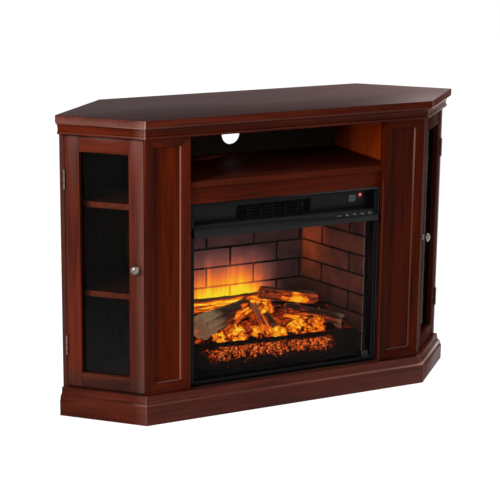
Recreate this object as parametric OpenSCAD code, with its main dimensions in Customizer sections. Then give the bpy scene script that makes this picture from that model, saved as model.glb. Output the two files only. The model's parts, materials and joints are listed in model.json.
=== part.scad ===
// Corner media fireplace: a six-sided cabinet with two glazed doors, an open
// media bay and an electric hearth insert between two panelled pilasters.
// The origin is the centre of the footprint on the floor, +Y points to the corner.

/* [Overall] */
// Width across the two side points of the top
overall_w = 1219.2; // [1190:0.1:1250]
// Depth from the front edge to the back edge of the top
overall_d = 381; // [370:1:400]
// Height of the top surface above the floor
overall_h = 819; // [805:1:860]
// How far back the two front chamfers run, at 45 degrees
front_chamfer = 178; // [168:1:186]
// Thickness of the top
slab_t = 20; // [16:1:24]
// Eased edge of the top
slab_ease = 1.5; // [0.5:0.1:2.5]

/* [Case] */
// Inset of the case faces from the edge of the top
case_inset = 24; // [22:1:28]
// Thickness of the side and divider boards
board_t = 12.7; // [12:0.1:15]
// Thickness of the floor, the media shelf and the cabinet shelves
shelf_t = 15.9; // [14:0.1:18]
// Thickness of the back panel
back_t = 5; // [3:1:6]
// Inset of the back panel from the back edge of the top
back_inset = 14; // [8:1:16]
// Height of the base, up to the case floor
base_h = 76; // [72:1:82]
// Height of the upright face of the base moulding
plinth_h = 44.5; // [38:0.5:50]
// Height of the cornice moulding
cornice_h = 32; // [28:1:36]
// Overhang of the cornice lip from the case face
cornice_lip = 12.5; // [8:0.5:14]
// Width of the ledge on top of the base moulding
base_ledge = 10; // [7:1:13]

/* [Pilasters] */
// Width of each pilaster on the front face
pilaster_w = 127.7; // [120:0.1:136]
// Thickness of the pilaster frames
pilaster_t = 20; // [18:1:22]
// Width of the pilaster frame members beside the panel
pilaster_stile = 28; // [24:1:34]
// Frame height below the pilaster panel
panel_foot = 32; // [26:1:40]
// Frame height between the pilaster panel and the cornice
panel_head = 25; // [20:1:34]
// Depth of the pilaster panels behind the frame face
panel_depth = 10; // [7:1:12]
// Thickness of the pilaster panels
panel_t = 6; // [4:1:8]
// Lap of each pilaster panel behind its frame
panel_lap = 5; // [3:1:8]
// Radius of the moulded edge around the pilaster opening
panel_edge_r = 6; // [4:0.5:8]
// Step beside the moulded edge
panel_edge_step = 1.2; // [0.8:0.1:2]

/* [Media bay] */
// Clear height of the bay's front opening, up to the cornice
bay_h = 124; // [108:1:132]
// Set-back of the media shelf edge behind the pilaster face
media_edge_set = 6; // [3:1:9]
// Height of the apron rail below the media shelf
apron_h = 46; // [40:1:52]
// Set-back of the apron and the hearth insert behind the pilaster face
insert_set = 16; // [13:1:18]
// Distance of the dividers outside the pilaster edges
divider_set = 35; // [30:1:40]
// Radius of the cable hole in the back panel
cable_hole_r = 28.5; // [24:0.5:32]
// Sideways place of the cable hole
cable_hole_x = -13; // [-40:1:40]
// Height of the cable hole centre above the media shelf
cable_hole_up = 55; // [45:1:75]

/* [Cabinet shelves] */
// Upper face of the upper cabinet shelf
upper_shelf_z = 585; // [560:1:610]
// Upper face of the lower cabinet shelf
lower_shelf_z = 341; // [310:1:370]
// Gap between a shelf and the walls around it
shelf_gap = 1; // [0.5:0.1:2]
// Set-back of the cabinet shelves behind the door face
shelf_set = 36; // [30:1:50]
// Radius of a shelf pin
pin_r = 2.5; // [2:0.1:3]
// Depth of a shelf pin hole
pin_depth = 9; // [6:0.5:10]
// Reach of a shelf pin under its shelf
pin_reach = 8; // [6:0.5:12]
// Pitch of the spare shelf pin holes
pin_pitch = 32; // [28:1:40]

/* [Doors] */
// Thickness of a door
door_t = 19; // [17:0.5:22]
// Width of the door stiles and rails
door_member = 41; // [36:1:48]
// Gap between the door's free edge and the pilaster strip
door_gap = 2; // [1.6:0.1:3]
// Gap between the door's hinge edge and the side panel
hinge_gap = 1.8; // [1.6:0.1:2.2]
// Gap above and below a door
door_end_gap = 3; // [2:0.5:5]
// Width of the pilaster strip beside a door
strip_w = 4; // [3:0.5:6]
// Depth of the glass behind the door face
glass_depth = 13; // [10:0.5:14]
// Thickness of the door glass and of the hearth glass
glass_t = 3; // [2:0.5:4]
// Width of the rebate that holds the door glass
rebate_w = 6; // [5:0.5:9]
// Height of a hinge
hinge_h = 51; // [44:1:60]
// Distance of the hinge centres from the door's ends
hinge_end = 116; // [80:1:140]
// Radius of the hinge knuckles
knuckle_r = 2.6; // [2.4:0.1:3]
// Radius of the hinge pins
hinge_pin_r = 1.25; // [1:0.05:1.4]
// Thickness of a hinge leaf
leaf_t = 0.7; // [0.5:0.05:0.75]
// Depth of a hinge leaf into the gap
leaf_depth = 17; // [12:1:18]
// Radius of the knob head
knob_r = 12; // [10:0.5:15]
// Distance that the knob stands out from the door
knob_out = 22; // [18:1:23]

/* [Hearth insert] */
// Thickness of the insert's sheet metal
sheet_t = 1.5; // [1:0.1:2]
// Gap between the insert and the woodwork around it
insert_gap = 3; // [1:0.5:5]
// Width of the face of the insert frame beside the glass
frame_w = 15; // [12:1:20]
// Height of the insert frame below the glass
sill_h = 14; // [10:1:18]
// Height of the insert frame above the hood panel
head_h = 8; // [6:1:12]
// Depth of the insert frame, back to the brick
frame_depth = 36; // [34:1:40]
// Thickness of the insert frame's side walls
frame_wall = 2; // [1.5:0.5:3]
// Set-back of the hearth glass behind the insert frame's face
glass_set = 9; // [7:1:12]
// Set-back of the hood panel behind the insert frame's face
hood_set = 32; // [28:1:32]
// Height of the hood panel and its frame, above the control lip
hood_h = 59; // [54:1:70]
// Height of the control lip
lip_h = 35; // [32:1:40]
// Distance that the control lip stands out from the hood panel
lip_out = 22; // [20:1:23]
// Height of the upright nose of the control lip
lip_nose = 9; // [7:1:11]
// Wall of the control lip
lip_wall = 2; // [1.5:0.1:2.5]
// Distance of the warm air vent from the left end of the hood panel
vent_left = 138; // [110:1:150]
// Distance of the warm air vent from the right end of the hood panel
vent_right = 184; // [170:1:200]
// Number of vent louvres
louvres = 5; // [4:1:6]
// Width of the display window
display_w = 22; // [16:1:26]
// Distance of the display window from the right end of the hood panel
display_in = 53; // [48:1:66]
// Radius of the status lamp lens
lamp_r = 3; // [2:0.5:4]
// Distance of the status lamp from the right end of the hood panel
lamp_in = 28; // [22:1:32]
// Distance of the last key from the right jamb of the insert
keys_in = 17; // [12:1:22]
// Pitch of the five keys
key_pitch = 24.5; // [22:0.5:26]
// Width of a key
key_w = 15; // [12:1:18]
// Length of a key up the slope
key_l = 10; // [8:1:12]
// Travel of a key
key_travel = 1; // [0.8:0.1:1.2]
// Gap around a key
key_gap = 0.3; // [0.2:0.05:0.5]

/* [Firebox] */
// Thickness of the brick liner panels
brick_t = 6; // [5:1:8]
// Height of a course of bricks, with its mortar joint
course_h = 57.3; // [50:0.1:65]
// Length of a brick of the back wall, with its joint
brick_l = 152; // [130:1:180]
// Length of a brick of the side walls, with its joint
side_brick_l = 238; // [220:1:280]
// Width of a mortar joint
mortar_w = 6; // [4:0.5:8]
// Depth of a mortar joint
mortar_d = 2; // [1:0.5:3]
// Distance that each side wall leans in towards the back
wall_lean = 54; // [30:1:60]
// Space behind the brick back
rear_space = 6; // [4:1:10]
// Height of the ember bed's front bar above the case floor
ember_h = 90; // [84:1:96]
// Wall of the ember bed
bed_wall = 4; // [3:0.5:5]
// Radius of the flame rotor's flags
rotor_r = 20; // [14:1:21]
// Number of flags on the flame rotor
flags = 14; // [8:1:20]
// Radius of the blower wheel
wheel_r = 24; // [20:1:26]
// Number of blades on the blower wheel
blades = 20; // [12:1:24]
// Width of the control board
board_w = 118; // [90:1:130]
// Depth of the control board
board_d = 80; // [60:1:100]
// Height of the control board's posts
post_h = 6; // [4:0.5:10]
// Radius of the blower shaft and of the rotor shaft
shaft_r = 3; // [2:0.5:4]

/* [Hidden] */

// Small gap that keeps joined wood members separate pieces
joint_gap = 0.1;
// Running clearance of a shaft, pin or screw in its hole
run_gap = 0.05;
// Gap between a still piece and a moving piece beside it
free_gap = 0.3;
// Reach of a cutting shape past the piece that it cuts
past = 1;
root2 = sqrt(2);

// Colours
cherry = [0.36, 0.12, 0.07];
dark_cherry = [0.27, 0.09, 0.05];
bare_board = [0.62, 0.50, 0.36];
satin_black = [0.09, 0.09, 0.10];
zinc = [0.62, 0.63, 0.64];
pewter = [0.66, 0.63, 0.58];
clear_glass = [0.75, 0.82, 0.82, 0.35];
brick_red = [0.40, 0.22, 0.17];
ember = [0.95, 0.42, 0.10];
bark = [0.30, 0.22, 0.17];

// Plan: y runs from the front edge of the top to its back edge
half_w = overall_w / 2;
rear_chamfer = overall_d - front_chamfer;
slab_corner_x = half_w - front_chamfer;
slab_z = overall_h - slab_t;
side_sum = half_w + front_chamfer;
inner_sum = side_sum - board_t * root2;
back_y = overall_d - back_inset - back_t;
pilaster_back = case_inset + pilaster_t;
insert_y = case_inset + insert_set;

// Inset outline of the plan: front corner, side point and chamfer line
function corner_x(o) = slab_corner_x - o * tan(22.5);
function chamfer_diff(o) = slab_corner_x - o * root2;
function side_point(o) = [half_w - o / root2, front_chamfer + o / root2];
function meet(sum, diff) = [(sum + diff) / 2, (sum - diff) / 2];
function flip(points) = [for (i = [len(points) - 1:-1:0]) [-points[i][0], points[i][1]]];
function both(points) = concat(points, flip(points));
function arc(centre, rx, rz, from, to, steps) =
    [for (i = [0:steps])
        let (a = from + (to - from) * i / steps)
        [centre[0] + rx * cos(a), centre[1] + rz * sin(a)]];

case_corner_x = corner_x(case_inset);
case_diff = chamfer_diff(case_inset);
bay_x = case_corner_x - pilaster_w;
divider_x = bay_x + divider_set;
// Length of a front chamfer on the case face
face_l = (side_point(case_inset)[0] - case_corner_x) * root2;

// Door, in the chamfer's own frame: u along it from the front corner, v inwards
cornice_z = slab_z - cornice_h;
media_z = cornice_z - bay_h;
door_z0 = base_h + door_end_gap;
door_z1 = cornice_z - door_end_gap;
door_u0 = strip_w + door_gap;
panel_u = face_l - board_t;
door_u1 = panel_u - hinge_gap;
pane_u0 = door_u0 + door_member;
pane_u1 = door_u1 - door_member;
pane_z0 = door_z0 + door_member;
pane_z1 = door_z1 - door_member;
pane_lap = rebate_w - 0.5;
hinge_u = panel_u - hinge_gap / 2;
hinge_v = -knuckle_r - free_gap;
hinge_zs = [door_z0 + hinge_end - hinge_h / 2, door_z1 - hinge_end - hinge_h / 2];
knuckle_bore_r = hinge_pin_r + run_gap;
knuckle_third = hinge_h / 3;
knuckle_gap = 0.2;
pin_head_h = 1.4;
knob_u = (door_u0 + pane_u0) / 2;
knob_z = (door_z0 + door_z1) / 2;
knob_screw_r = 2;
knob_hole_r = knob_screw_r + 0.1;
strike_t = 1.2;
strike_w = 26;
strike_h = 9;
catch_h = 15;
catch_v0 = door_t + strike_t + free_gap;
catch_depth = 14;

// Shelf pins on the divider and on the side panel
pin_ys = [pilaster_back + 66, back_y - 52];
pin_vs = [60, 180];
shelf_tops = [lower_shelf_z, upper_shelf_z];
spare_holes = [-1, 0, 1];
pin_hole_r = pin_r + run_gap;

// Insert: heights run up from the case floor
insert_top = media_z - shelf_t - apron_h;
frame_top = insert_top - insert_gap / 10;
frame_x = bay_x - insert_gap;
glass_x = frame_x - frame_w;
hood_z0 = insert_top - hood_h;
lip_z0 = hood_z0 - lip_h;
sill_z = base_h + sill_h;
firebox_y = insert_y + frame_depth;
firebox_top = lip_z0;
housing_x = glass_x + frame_wall + sheet_t;
glass_y = insert_y + glass_set;
hood_y = insert_y + hood_set;
housing_back_y = back_y - 11;
brick_back_y = housing_back_y - rear_space - brick_t;
brick_front_x = glass_x - brick_t - 1;
brick_rear_x = brick_front_x - wall_lean;
floor_z = base_h + sheet_t;
wall_run = brick_back_y - firebox_y;
wall_angle = atan2(wall_lean, wall_run);
wall_l = norm([wall_lean, wall_run]);
brick_h = firebox_top - floor_z;
// Height of the mortar line that all courses are counted from
course_z = base_h + 241;
back_joint_x = -23.5;
side_joint = 64;

// Control lip: the slope runs from the shelf below the hood panel down to the nose
lip_top_y = insert_y + 6;
lip_y0 = lip_top_y - lip_out;
lip_slope_drop = lip_h - lip_nose - 4;
lip_angle = atan2(lip_slope_drop, lip_out);
lip_x = glass_x + 5;
lip_mid = [lip_top_y - lip_out / 2, hood_z0 - lip_slope_drop / 2];
key_proud = 0.8;
key_flange = 1;
key_flange_t = 1.2;

// Warm air vent and display in the hood panel
vent_w = 2 * glass_x - vent_left - vent_right;
vent_x = (vent_left - vent_right) / 2;
display_x = glass_x - display_in;
lamp_x = glass_x - lamp_in;
key_x = glass_x - keys_in - 4 * key_pitch;
vent_z0 = hood_z0 + 1;
vent_z1 = insert_top - head_h - 13;
display_h = display_w - 3;
display_z = hood_z0 + 26;
lamp_z = hood_z0 + 34;
window_t = 1.2;

// Blower behind the vent
wheel_y = hood_y + 70;
wheel_z = (firebox_top + sheet_t + insert_top - sheet_t) / 2;
wheel_x0 = vent_x - vent_w / 2 + 16;
wheel_x1 = vent_x + vent_w / 2 - 16;
cheek_gap = 4;
cheek_x0 = wheel_x0 - cheek_gap;
cheek_x1 = wheel_x1 + cheek_gap;
scroll_r = wheel_r + 6;
blower_motor_r = 20;
blower_motor_l = 38;
heater_z0 = firebox_top + sheet_t + 20;

// Flame rotor behind the ember bed, between ears near the side walls
rotor_y = brick_back_y - rotor_r - 6;
rotor_z = floor_z + 68;
rotor_motor_r = 14;
rotor_motor_l = 18;
ear_x = brick_rear_x - rotor_motor_l - 9;

// Ember bed section, y and z, and its rear edge
bar_z = base_h + ember_h;
bed_y0 = firebox_y + 3;
bed_y1 = rotor_y - rotor_r - 6;

// Logs: each is [end, end, radius, radius]. An end is its share of the bed's half
// width, its distance behind the bed's front, and its height over the bar
bed_x = brick_rear_x - 2;
function log_end(share, back, up) = [share * bed_x, bed_y0 + back, bar_z + up];
logs = [
    [log_end(-1.052, 39, 43), log_end(-0.146, 122, 52), 39, 24],
    [log_end(-0.113, 101, 76), log_end(-0.094, 27, 6), 8, 9],
    [log_end(0.338, 111, 48), log_end(1.085, 45, 10), 23, 21],
    [log_end(0.047, 42, 8), log_end(0.056, 99, 34), 19, 17],
    [log_end(-1.005, 183, 63), log_end(0.103, 155, 72), 25, 22],
    [log_end(0.038, 126, 102), log_end(0.953, 163, 54), 19, 19]
];
// Tilt of the ember bed, higher at its left end
bed_tilt = 1.7;

// ---- helpers ----------------------------------------------------------

// Puts a piece drawn from the front edge of the top into the part's frame
module placed() {
    translate([0, -overall_d / 2, 0]) children();
}

// Draws a piece on the right and its mirror image on the left
module pair() {
    children();
    mirror([1, 0, 0]) children();
}

// Frame of the right front chamfer on the case face: u, v, z
module on_chamfer() {
    translate([case_corner_x, case_inset, 0]) rotate([0, 0, 45]) children();
}

// Frame of the control lip's slope: x, up the slope, out of the slope
module on_slope(x) {
    translate([x, lip_mid[0], lip_mid[1]]) rotate([lip_angle, 0, 0]) children();
}

module block(lo, hi) {
    translate(lo) cube(hi - lo);
}

module upright(points, z0, z1) {
    translate([0, 0, z0]) linear_extrude(z1 - z0) polygon(points);
}

// Extrudes a section drawn in y and z along x
module along_x(points, x0, x1) {
    translate([x0, 0, 0]) rotate([90, 0, 90]) linear_extrude(x1 - x0) polygon(points);
}

// Extrudes a section drawn in x and z along y
module along_y(points, y0, y1) {
    translate([0, y1, 0]) rotate([90, 0, 0]) linear_extrude(y1 - y0) polygon(points);
}

module x_rod(x0, x1, y, z, r) {
    translate([x0, y, z]) rotate([0, 90, 0]) cylinder(h = x1 - x0, r = r, $fn = 48);
}

// Log shaped rod between two points, grown by extra
module log(shape, extra = 0) {
    run = shape[1] - shape[0];
    long = norm(run);
    translate(shape[0])
        rotate([0, acos(run[2] / long), atan2(run[1], run[0])])
            translate([0, 0, -extra])
                cylinder(h = long + 2 * extra, r1 = shape[2] + extra, r2 = shape[3] + extra, $fn = 40);
}

// Straight stretch of moulding along the front, cut at its mitres
module front_moulding(section) {
    intersection() {
        along_x(section, -half_w, half_w);
        upright(both([[corner_x(0) + tan(22.5) * past, -past], [case_corner_x, case_inset]]),
            -past, overall_h);
    }
}

// Stretch of moulding along the right front chamfer, cut at its mitre and side point
module side_moulding(section) {
    intersection() {
        translate([slab_corner_x, 0, 0]) rotate([0, 0, 45]) along_x(section, -half_w, half_w);
        upright([[corner_x(0) + tan(22.5) * past, -past], side_point(-past), side_point(case_inset),
            [case_corner_x, case_inset]], -past, overall_h);
    }
}

// ---- case -------------------------------------------------------------

module top_slab() {
    color(cherry) placed() difference() {
        upright(both([[slab_corner_x, 0], [half_w, front_chamfer], [half_w - rear_chamfer, overall_d]]),
            slab_z, overall_h);
        for (z = [slab_z, overall_h]) {
            translate([0, 0, z]) rotate([45, 0, 0])
                cube([overall_w, slab_ease * root2, slab_ease * root2], center = true);
            pair() translate([slab_corner_x, 0, z]) rotate([0, 0, 45]) rotate([45, 0, 0])
                cube([overall_w, slab_ease * root2, slab_ease * root2], center = true);
        }
    }
}

// Section of the cornice: inset from the edge of the top, and height
lip_front = case_inset - cornice_lip;
cornice_section = concat(
    [[case_inset, cornice_z], [lip_front + 1, cornice_z], [lip_front, cornice_z + 1],
        [lip_front, cornice_z + 6], [lip_front + 1.2, cornice_z + 7.2]],
    arc([4, cornice_z + 9], lip_front - 0.5, cornice_h - 12, 0, 90, 8),
    [[3, slab_z - 3], [3, slab_z], [case_inset, slab_z]]);

module cornice_front() {
    color(cherry) placed() front_moulding(cornice_section);
}

module cornice_sides() {
    color(cherry) placed() pair() side_moulding(cornice_section);
}

// Section of the base moulding, from the floor to the ledge
ledge_front = case_inset - base_ledge;
bead_mid = [9, plinth_h + 5.5];
base_section = concat(
    [[case_inset, 0], [0, 0], [0, plinth_h - 1.5], [1, plinth_h], [3, plinth_h]],
    arc(bead_mid, 6, 7, 180, 90, 6),
    arc([bead_mid[0], base_h], ledge_front - bead_mid[0], base_h - bead_mid[1] - 8, -90, 0, 6),
    [[case_inset, base_h]]);

module base_front() {
    color(cherry) placed() front_moulding(base_section);
}

module base_sides() {
    color(cherry) placed() pair() side_moulding(base_section);
}

// Rails behind the cornice, and the rail under the back of the floor
module carcass_rails() {
    rail_y = back_y - board_t;
    color(dark_cherry) placed() {
        block([-bay_x, case_inset, cornice_z], [bay_x, pilaster_back, slab_z]);
        pair() on_chamfer() block([strip_w, 0, cornice_z], [panel_u, door_t, slab_z]);
        upright(both([[inner_sum - rail_y, rail_y], [inner_sum - back_y, back_y]]), 0, base_h - shelf_t);
    }
}

// Section of the pilaster frame at its opening: distance from the opening, and depth
sight_edge = concat(
    [[panel_edge_r + 1, 0], [panel_edge_r + 1, panel_edge_step]],
    arc([panel_edge_r, panel_edge_r + panel_edge_step], panel_edge_r, panel_edge_r, 270, 180, 5),
    [[0, panel_depth], [panel_lap, panel_depth], [panel_lap, pilaster_t]]);

// Right pilaster: a frame of four mitred members with a rebate for its panel
module pilaster() {
    strip = strip_w / root2;
    x0 = bay_x + pilaster_stile;
    x1 = case_corner_x - pilaster_stile;
    z0 = base_h + panel_foot;
    z1 = cornice_z - panel_head;
    reach = pilaster_w;
    g = joint_gap / 2;
    outline = [[bay_x, case_inset], [case_corner_x, case_inset],
        [case_corner_x + strip, case_inset + strip],
        [case_corner_x + 2 * strip - pilaster_t, pilaster_back], [bay_x, pilaster_back]];
    placed() {
        intersection() {
            upright(outline, base_h, slab_z);
            upright(concat([for (p = sight_edge) [x0 - p[0], case_inset + p[1]]],
                [[0, pilaster_back], [0, case_inset]]), base_h, slab_z);
            along_y([[x0, z0 + g], [x0, z1 - g], [x0 - reach, z1 + reach - g], [x0 - reach, z0 - reach + g]],
                0, pilaster_back + past);
        }
        intersection() {
            upright(outline, base_h, slab_z);
            upright(concat([for (p = sight_edge) [x1 + p[0], case_inset + p[1]]],
                [[half_w, pilaster_back], [half_w, case_inset]]), base_h, slab_z);
            along_y([[x1, z0 + g], [x1, z1 - g], [x1 + reach, z1 + reach - g], [x1 + reach, z0 - reach + g]],
                0, pilaster_back + past);
        }
        intersection() {
            upright(outline, base_h, slab_z);
            along_x(concat([for (p = sight_edge) [case_inset + p[1], z1 + p[0]]],
                [[pilaster_back, overall_h], [case_inset, overall_h]]), bay_x, half_w);
            along_y([[x0 + g, z1], [x1 - g, z1], [x1 + reach - g, z1 + reach], [x0 - reach + g, z1 + reach]],
                0, pilaster_back + past);
        }
        intersection() {
            upright(outline, base_h, slab_z);
            along_x(concat([for (p = sight_edge) [case_inset + p[1], z0 - p[0]]],
                [[pilaster_back, 0], [case_inset, 0]]), bay_x, half_w);
            along_y([[x0 + g, z0], [x1 - g, z0], [x1 + reach - g, z0 - reach], [x0 - reach + g, z0 - reach]],
                0, pilaster_back + past);
        }
    }
}

module left_pilaster() {
    color(cherry) mirror([1, 0, 0]) pilaster();
}

module right_pilaster() {
    color(cherry) pilaster();
}

module pilaster_panels() {
    slack = joint_gap;
    color(cherry) placed() pair() block(
        [bay_x + pilaster_stile - panel_lap + slack, case_inset + panel_depth,
            base_h + panel_foot - panel_lap + slack],
        [case_corner_x - pilaster_stile + panel_lap - slack, case_inset + panel_depth + panel_t,
            cornice_z - panel_head + panel_lap - slack]);
}

// Divider between the media bay and the right cabinet, with its shelf pin holes
module divider() {
    placed() difference() {
        block([divider_x, pilaster_back, base_h], [divider_x + board_t, back_y, slab_z]);
        for (z = shelf_tops, k = spare_holes, y = pin_ys)
            x_rod(divider_x + board_t - pin_depth, divider_x + board_t + past, y,
                z - shelf_t - pin_r + k * pin_pitch, pin_hole_r);
    }
}

module left_divider() {
    color(dark_cherry) mirror([1, 0, 0]) divider();
}

module right_divider() {
    color(dark_cherry) divider();
}

// Side panel along the right rear chamfer; its front edge shows beside the door
module side_panel() {
    placed() difference() {
        upright([side_point(case_inset), [side_sum - back_y, back_y], [inner_sum - back_y, back_y],
            meet(inner_sum, case_diff)], 0, slab_z);
        on_chamfer() for (z = shelf_tops, k = spare_holes, v = pin_vs)
            x_rod(panel_u - past, panel_u + pin_depth, v, z - shelf_t - pin_r + k * pin_pitch, pin_hole_r);
    }
}

module left_side_panel() {
    color(cherry) mirror([1, 0, 0]) side_panel();
}

module right_side_panel() {
    color(cherry) side_panel();
}

// Cut-out behind the power inlet of the hearth insert
inlet_x = (brick_rear_x + housing_x) / 2 + 4;
inlet_z = floor_z + 73;
inlet_w = 28;
inlet_h = 21;
cord_hole_w = 90;
cord_hole_h = 64;

module back_panel() {
    color(bare_board) placed() difference() {
        upright(both([[side_sum - back_y, back_y], [side_sum - back_y - back_t, back_y + back_t]]),
            0, slab_z);
        translate([cable_hole_x, back_y - past, media_z + cable_hole_up]) rotate([-90, 0, 0])
            cylinder(h = back_t + 2 * past, r = cable_hole_r, $fn = 72);
        block([inlet_x - cord_hole_w / 2, back_y - past, inlet_z - cord_hole_h / 2],
            [inlet_x + cord_hole_w / 2, back_y + back_t + past, inlet_z + cord_hole_h / 2]);
    }
}

module bottom_panel() {
    color(dark_cherry) placed() upright(both([[case_corner_x, case_inset], meet(inner_sum, case_diff),
        [inner_sum - back_y, back_y]]), base_h - shelf_t, base_h);
}

module media_shelf() {
    edge_x = bay_x - joint_gap;
    color(cherry) placed() union() {
        block([-edge_x, case_inset + media_edge_set, media_z - shelf_t],
            [edge_x, pilaster_back + past, media_z]);
        block([-divider_x, pilaster_back, media_z - shelf_t], [divider_x, back_y, media_z]);
    }
}

module apron_rail() {
    edge_x = bay_x - joint_gap;
    color(cherry) placed() block([-edge_x, insert_y, insert_top],
        [edge_x, insert_y + board_t, media_z - shelf_t]);
}

// Five-sided shelf of the right cabinet
shelf_diff = case_diff - shelf_set * root2;
shelf_sum = inner_sum - shelf_gap * root2;
shelf_x0 = divider_x + board_t + shelf_gap;
shelf_y0 = pilaster_back + shelf_gap;
shelf_y1 = back_y - shelf_gap;
shelf_plan = [[shelf_x0, shelf_y0], [shelf_diff + shelf_y0, shelf_y0], meet(shelf_sum, shelf_diff),
    [shelf_sum - shelf_y1, shelf_y1], [shelf_x0, shelf_y1]];

module cabinet_shelves() {
    color(cherry) placed() pair() for (z = shelf_tops) upright(shelf_plan, z - shelf_t, z);
}

module shelf_pins() {
    wall_x = divider_x + board_t;
    color(zinc) placed() pair() for (z = shelf_tops) {
        for (y = pin_ys)
            x_rod(wall_x - pin_depth, wall_x + pin_reach, y, z - shelf_t - pin_r, pin_r);
        on_chamfer() for (v = pin_vs)
            x_rod(panel_u - pin_reach, panel_u + pin_depth, v, z - shelf_t - pin_r, pin_r);
    }
}

// ---- doors ------------------------------------------------------------

// Hinge leaf with its knuckles, standing between z0 and z0 + hinge_h
module hinge_leaf(z0, u0, knuckles) {
    difference() {
        union() {
            block([u0, 0, z0], [u0 + leaf_t, leaf_depth, z0 + hinge_h]);
            for (k = knuckles) {
                lo = z0 + k * knuckle_third + (k > 0 ? knuckle_gap / 2 : 0);
                hi = z0 + (k + 1) * knuckle_third - (k < 2 ? knuckle_gap / 2 : 0);
                translate([hinge_u, hinge_v, lo]) cylinder(h = hi - lo, r = knuckle_r, $fn = 48);
                block([u0, hinge_v + hinge_pin_r + 0.3, lo], [u0 + leaf_t, past, hi]);
            }
        }
        translate([hinge_u, hinge_v, z0 - past])
            cylinder(h = hinge_h + 2 * past, r = knuckle_bore_r, $fn = 48);
    }
}

module case_hinge_leaves() {
    color(pewter) placed() pair() on_chamfer()
        for (z = hinge_zs) hinge_leaf(z, panel_u - leaf_t, [0, 2]);
}

// Hinge pins with a flat head above and below the knuckles
module hinge_pins() {
    color(pewter) placed() pair() on_chamfer() for (z = hinge_zs) translate([hinge_u, hinge_v, z]) {
        cylinder(h = hinge_h, r = hinge_pin_r, $fn = 48);
        for (end = [-pin_head_h, hinge_h])
            translate([0, 0, end]) cylinder(h = pin_head_h, r = knuckle_r - 0.4, $fn = 48);
    }
}

// Magnetic catch on the floor behind each door's free stile
module door_catches() {
    color(satin_black) placed() pair() on_chamfer()
        block([knob_u - strike_w / 2 - 2, catch_v0, base_h],
            [knob_u + strike_w / 2 + 2, catch_v0 + catch_depth, base_h + catch_h]);
}

// Door frame: two stiles and two rails with a rebate for the glass
module door_frame() {
    placed() on_chamfer() difference() {
        block([door_u0, 0, door_z0], [door_u1, door_t, door_z1]);
        block([pane_u0, -past, pane_z0], [pane_u1, door_t + past, pane_z1]);
        block([pane_u0 - rebate_w, glass_depth, pane_z0 - rebate_w],
            [pane_u1 + rebate_w, door_t + past, pane_z1 + rebate_w]);
        for (u = [pane_u0, pane_u1 - joint_gap])
            block([u, -past, door_z0 - past], [u + joint_gap, door_t + past, door_z1 + past]);
        translate([knob_u, -past, knob_z]) rotate([-90, 0, 0])
            cylinder(h = door_t + 2 * past, r = knob_hole_r, $fn = 48);
    }
}

module door_glass() {
    placed() on_chamfer() block([pane_u0 - pane_lap, glass_depth, pane_z0 - pane_lap],
        [pane_u1 + pane_lap, glass_depth + glass_t, pane_z1 + pane_lap]);
}

// Four strips that hold the glass in its rebate
module door_retainers() {
    v0 = glass_depth + glass_t;
    side = rebate_w - joint_gap;
    placed() on_chamfer() {
        for (u = [pane_u0 - side, pane_u1])
            block([u, v0, pane_z0 - side], [u + side, door_t, pane_z1 + side]);
        for (z = [pane_z0 - side, pane_z1])
            block([pane_u0 + joint_gap, v0, z], [pane_u1 - joint_gap, door_t, z + side]);
    }
}

// Mushroom knob, turned with its screw through the stile
module door_knob() {
    head_mid = knob_out * 0.64;
    screw_head_h = 2.2;
    placed() on_chamfer() translate([knob_u, 0, knob_z]) rotate([90, 0, 0])
        rotate_extrude($fn = 64) polygon(concat(
            [[0, -door_t - screw_head_h], [4.5, -door_t - screw_head_h], [4.5, -door_t],
                [knob_screw_r, -door_t], [knob_screw_r, 0], [knob_r * 0.66, 0], [knob_r * 0.66, 1.2],
                [knob_r * 0.5, 2.4], [knob_r * 0.4, 5], [knob_r * 0.42, head_mid - 6]],
            arc([knob_r * 0.62, head_mid], knob_r * 0.38, 4.2, -90, 0, 5),
            arc([0, head_mid], knob_r, knob_out - head_mid, 8, 90, 10)));
}

// Hinge leaves and the catch's strike plate on the back of the door
module door_hardware() {
    placed() on_chamfer() {
        for (z = hinge_zs) hinge_leaf(z, door_u1, [1]);
        block([knob_u - strike_w / 2, door_t, door_z0 + 1],
            [knob_u + strike_w / 2, door_t + strike_t, door_z0 + 1 + strike_h]);
    }
}

module left_door_frame() {
    color(cherry) mirror([1, 0, 0]) door_frame();
}

module left_door_glass() {
    color(clear_glass) mirror([1, 0, 0]) door_glass();
}

module left_door_retainers() {
    color(cherry) mirror([1, 0, 0]) door_retainers();
}

module left_door_knob() {
    color(pewter) mirror([1, 0, 0]) door_knob();
}

module left_door_hardware() {
    color(pewter) mirror([1, 0, 0]) door_hardware();
}

module right_door_frame() {
    color(cherry) door_frame();
}

module right_door_glass() {
    color(clear_glass) door_glass();
}

module right_door_retainers() {
    color(cherry) door_retainers();
}

module right_door_knob() {
    color(pewter) door_knob();
}

module right_door_hardware() {
    color(pewter) door_hardware();
}

// ---- hearth insert: casing --------------------------------------------

module housing_sides() {
    color(zinc) placed() pair() block([housing_x - sheet_t, firebox_y, floor_z],
        [housing_x, housing_back_y, frame_top - sheet_t]);
}

// Base and top of the casing, and the ceiling between the firebox and the blower
module housing_plates() {
    color(zinc) placed() {
        block([-housing_x, firebox_y, base_h], [housing_x, housing_back_y, floor_z]);
        block([-housing_x, firebox_y, frame_top - sheet_t], [housing_x, housing_back_y, frame_top]);
        block([sheet_t - housing_x, firebox_y, firebox_top],
            [housing_x - sheet_t, housing_back_y, firebox_top + sheet_t]);
    }
}

module housing_back() {
    color(zinc) placed() difference() {
        block([-housing_x, housing_back_y, base_h], [housing_x, housing_back_y + sheet_t, frame_top]);
        block([inlet_x - inlet_w / 2, housing_back_y - past, inlet_z - inlet_h / 2],
            [inlet_x + inlet_w / 2, housing_back_y + sheet_t + past, inlet_z + inlet_h / 2]);
    }
}

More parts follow.
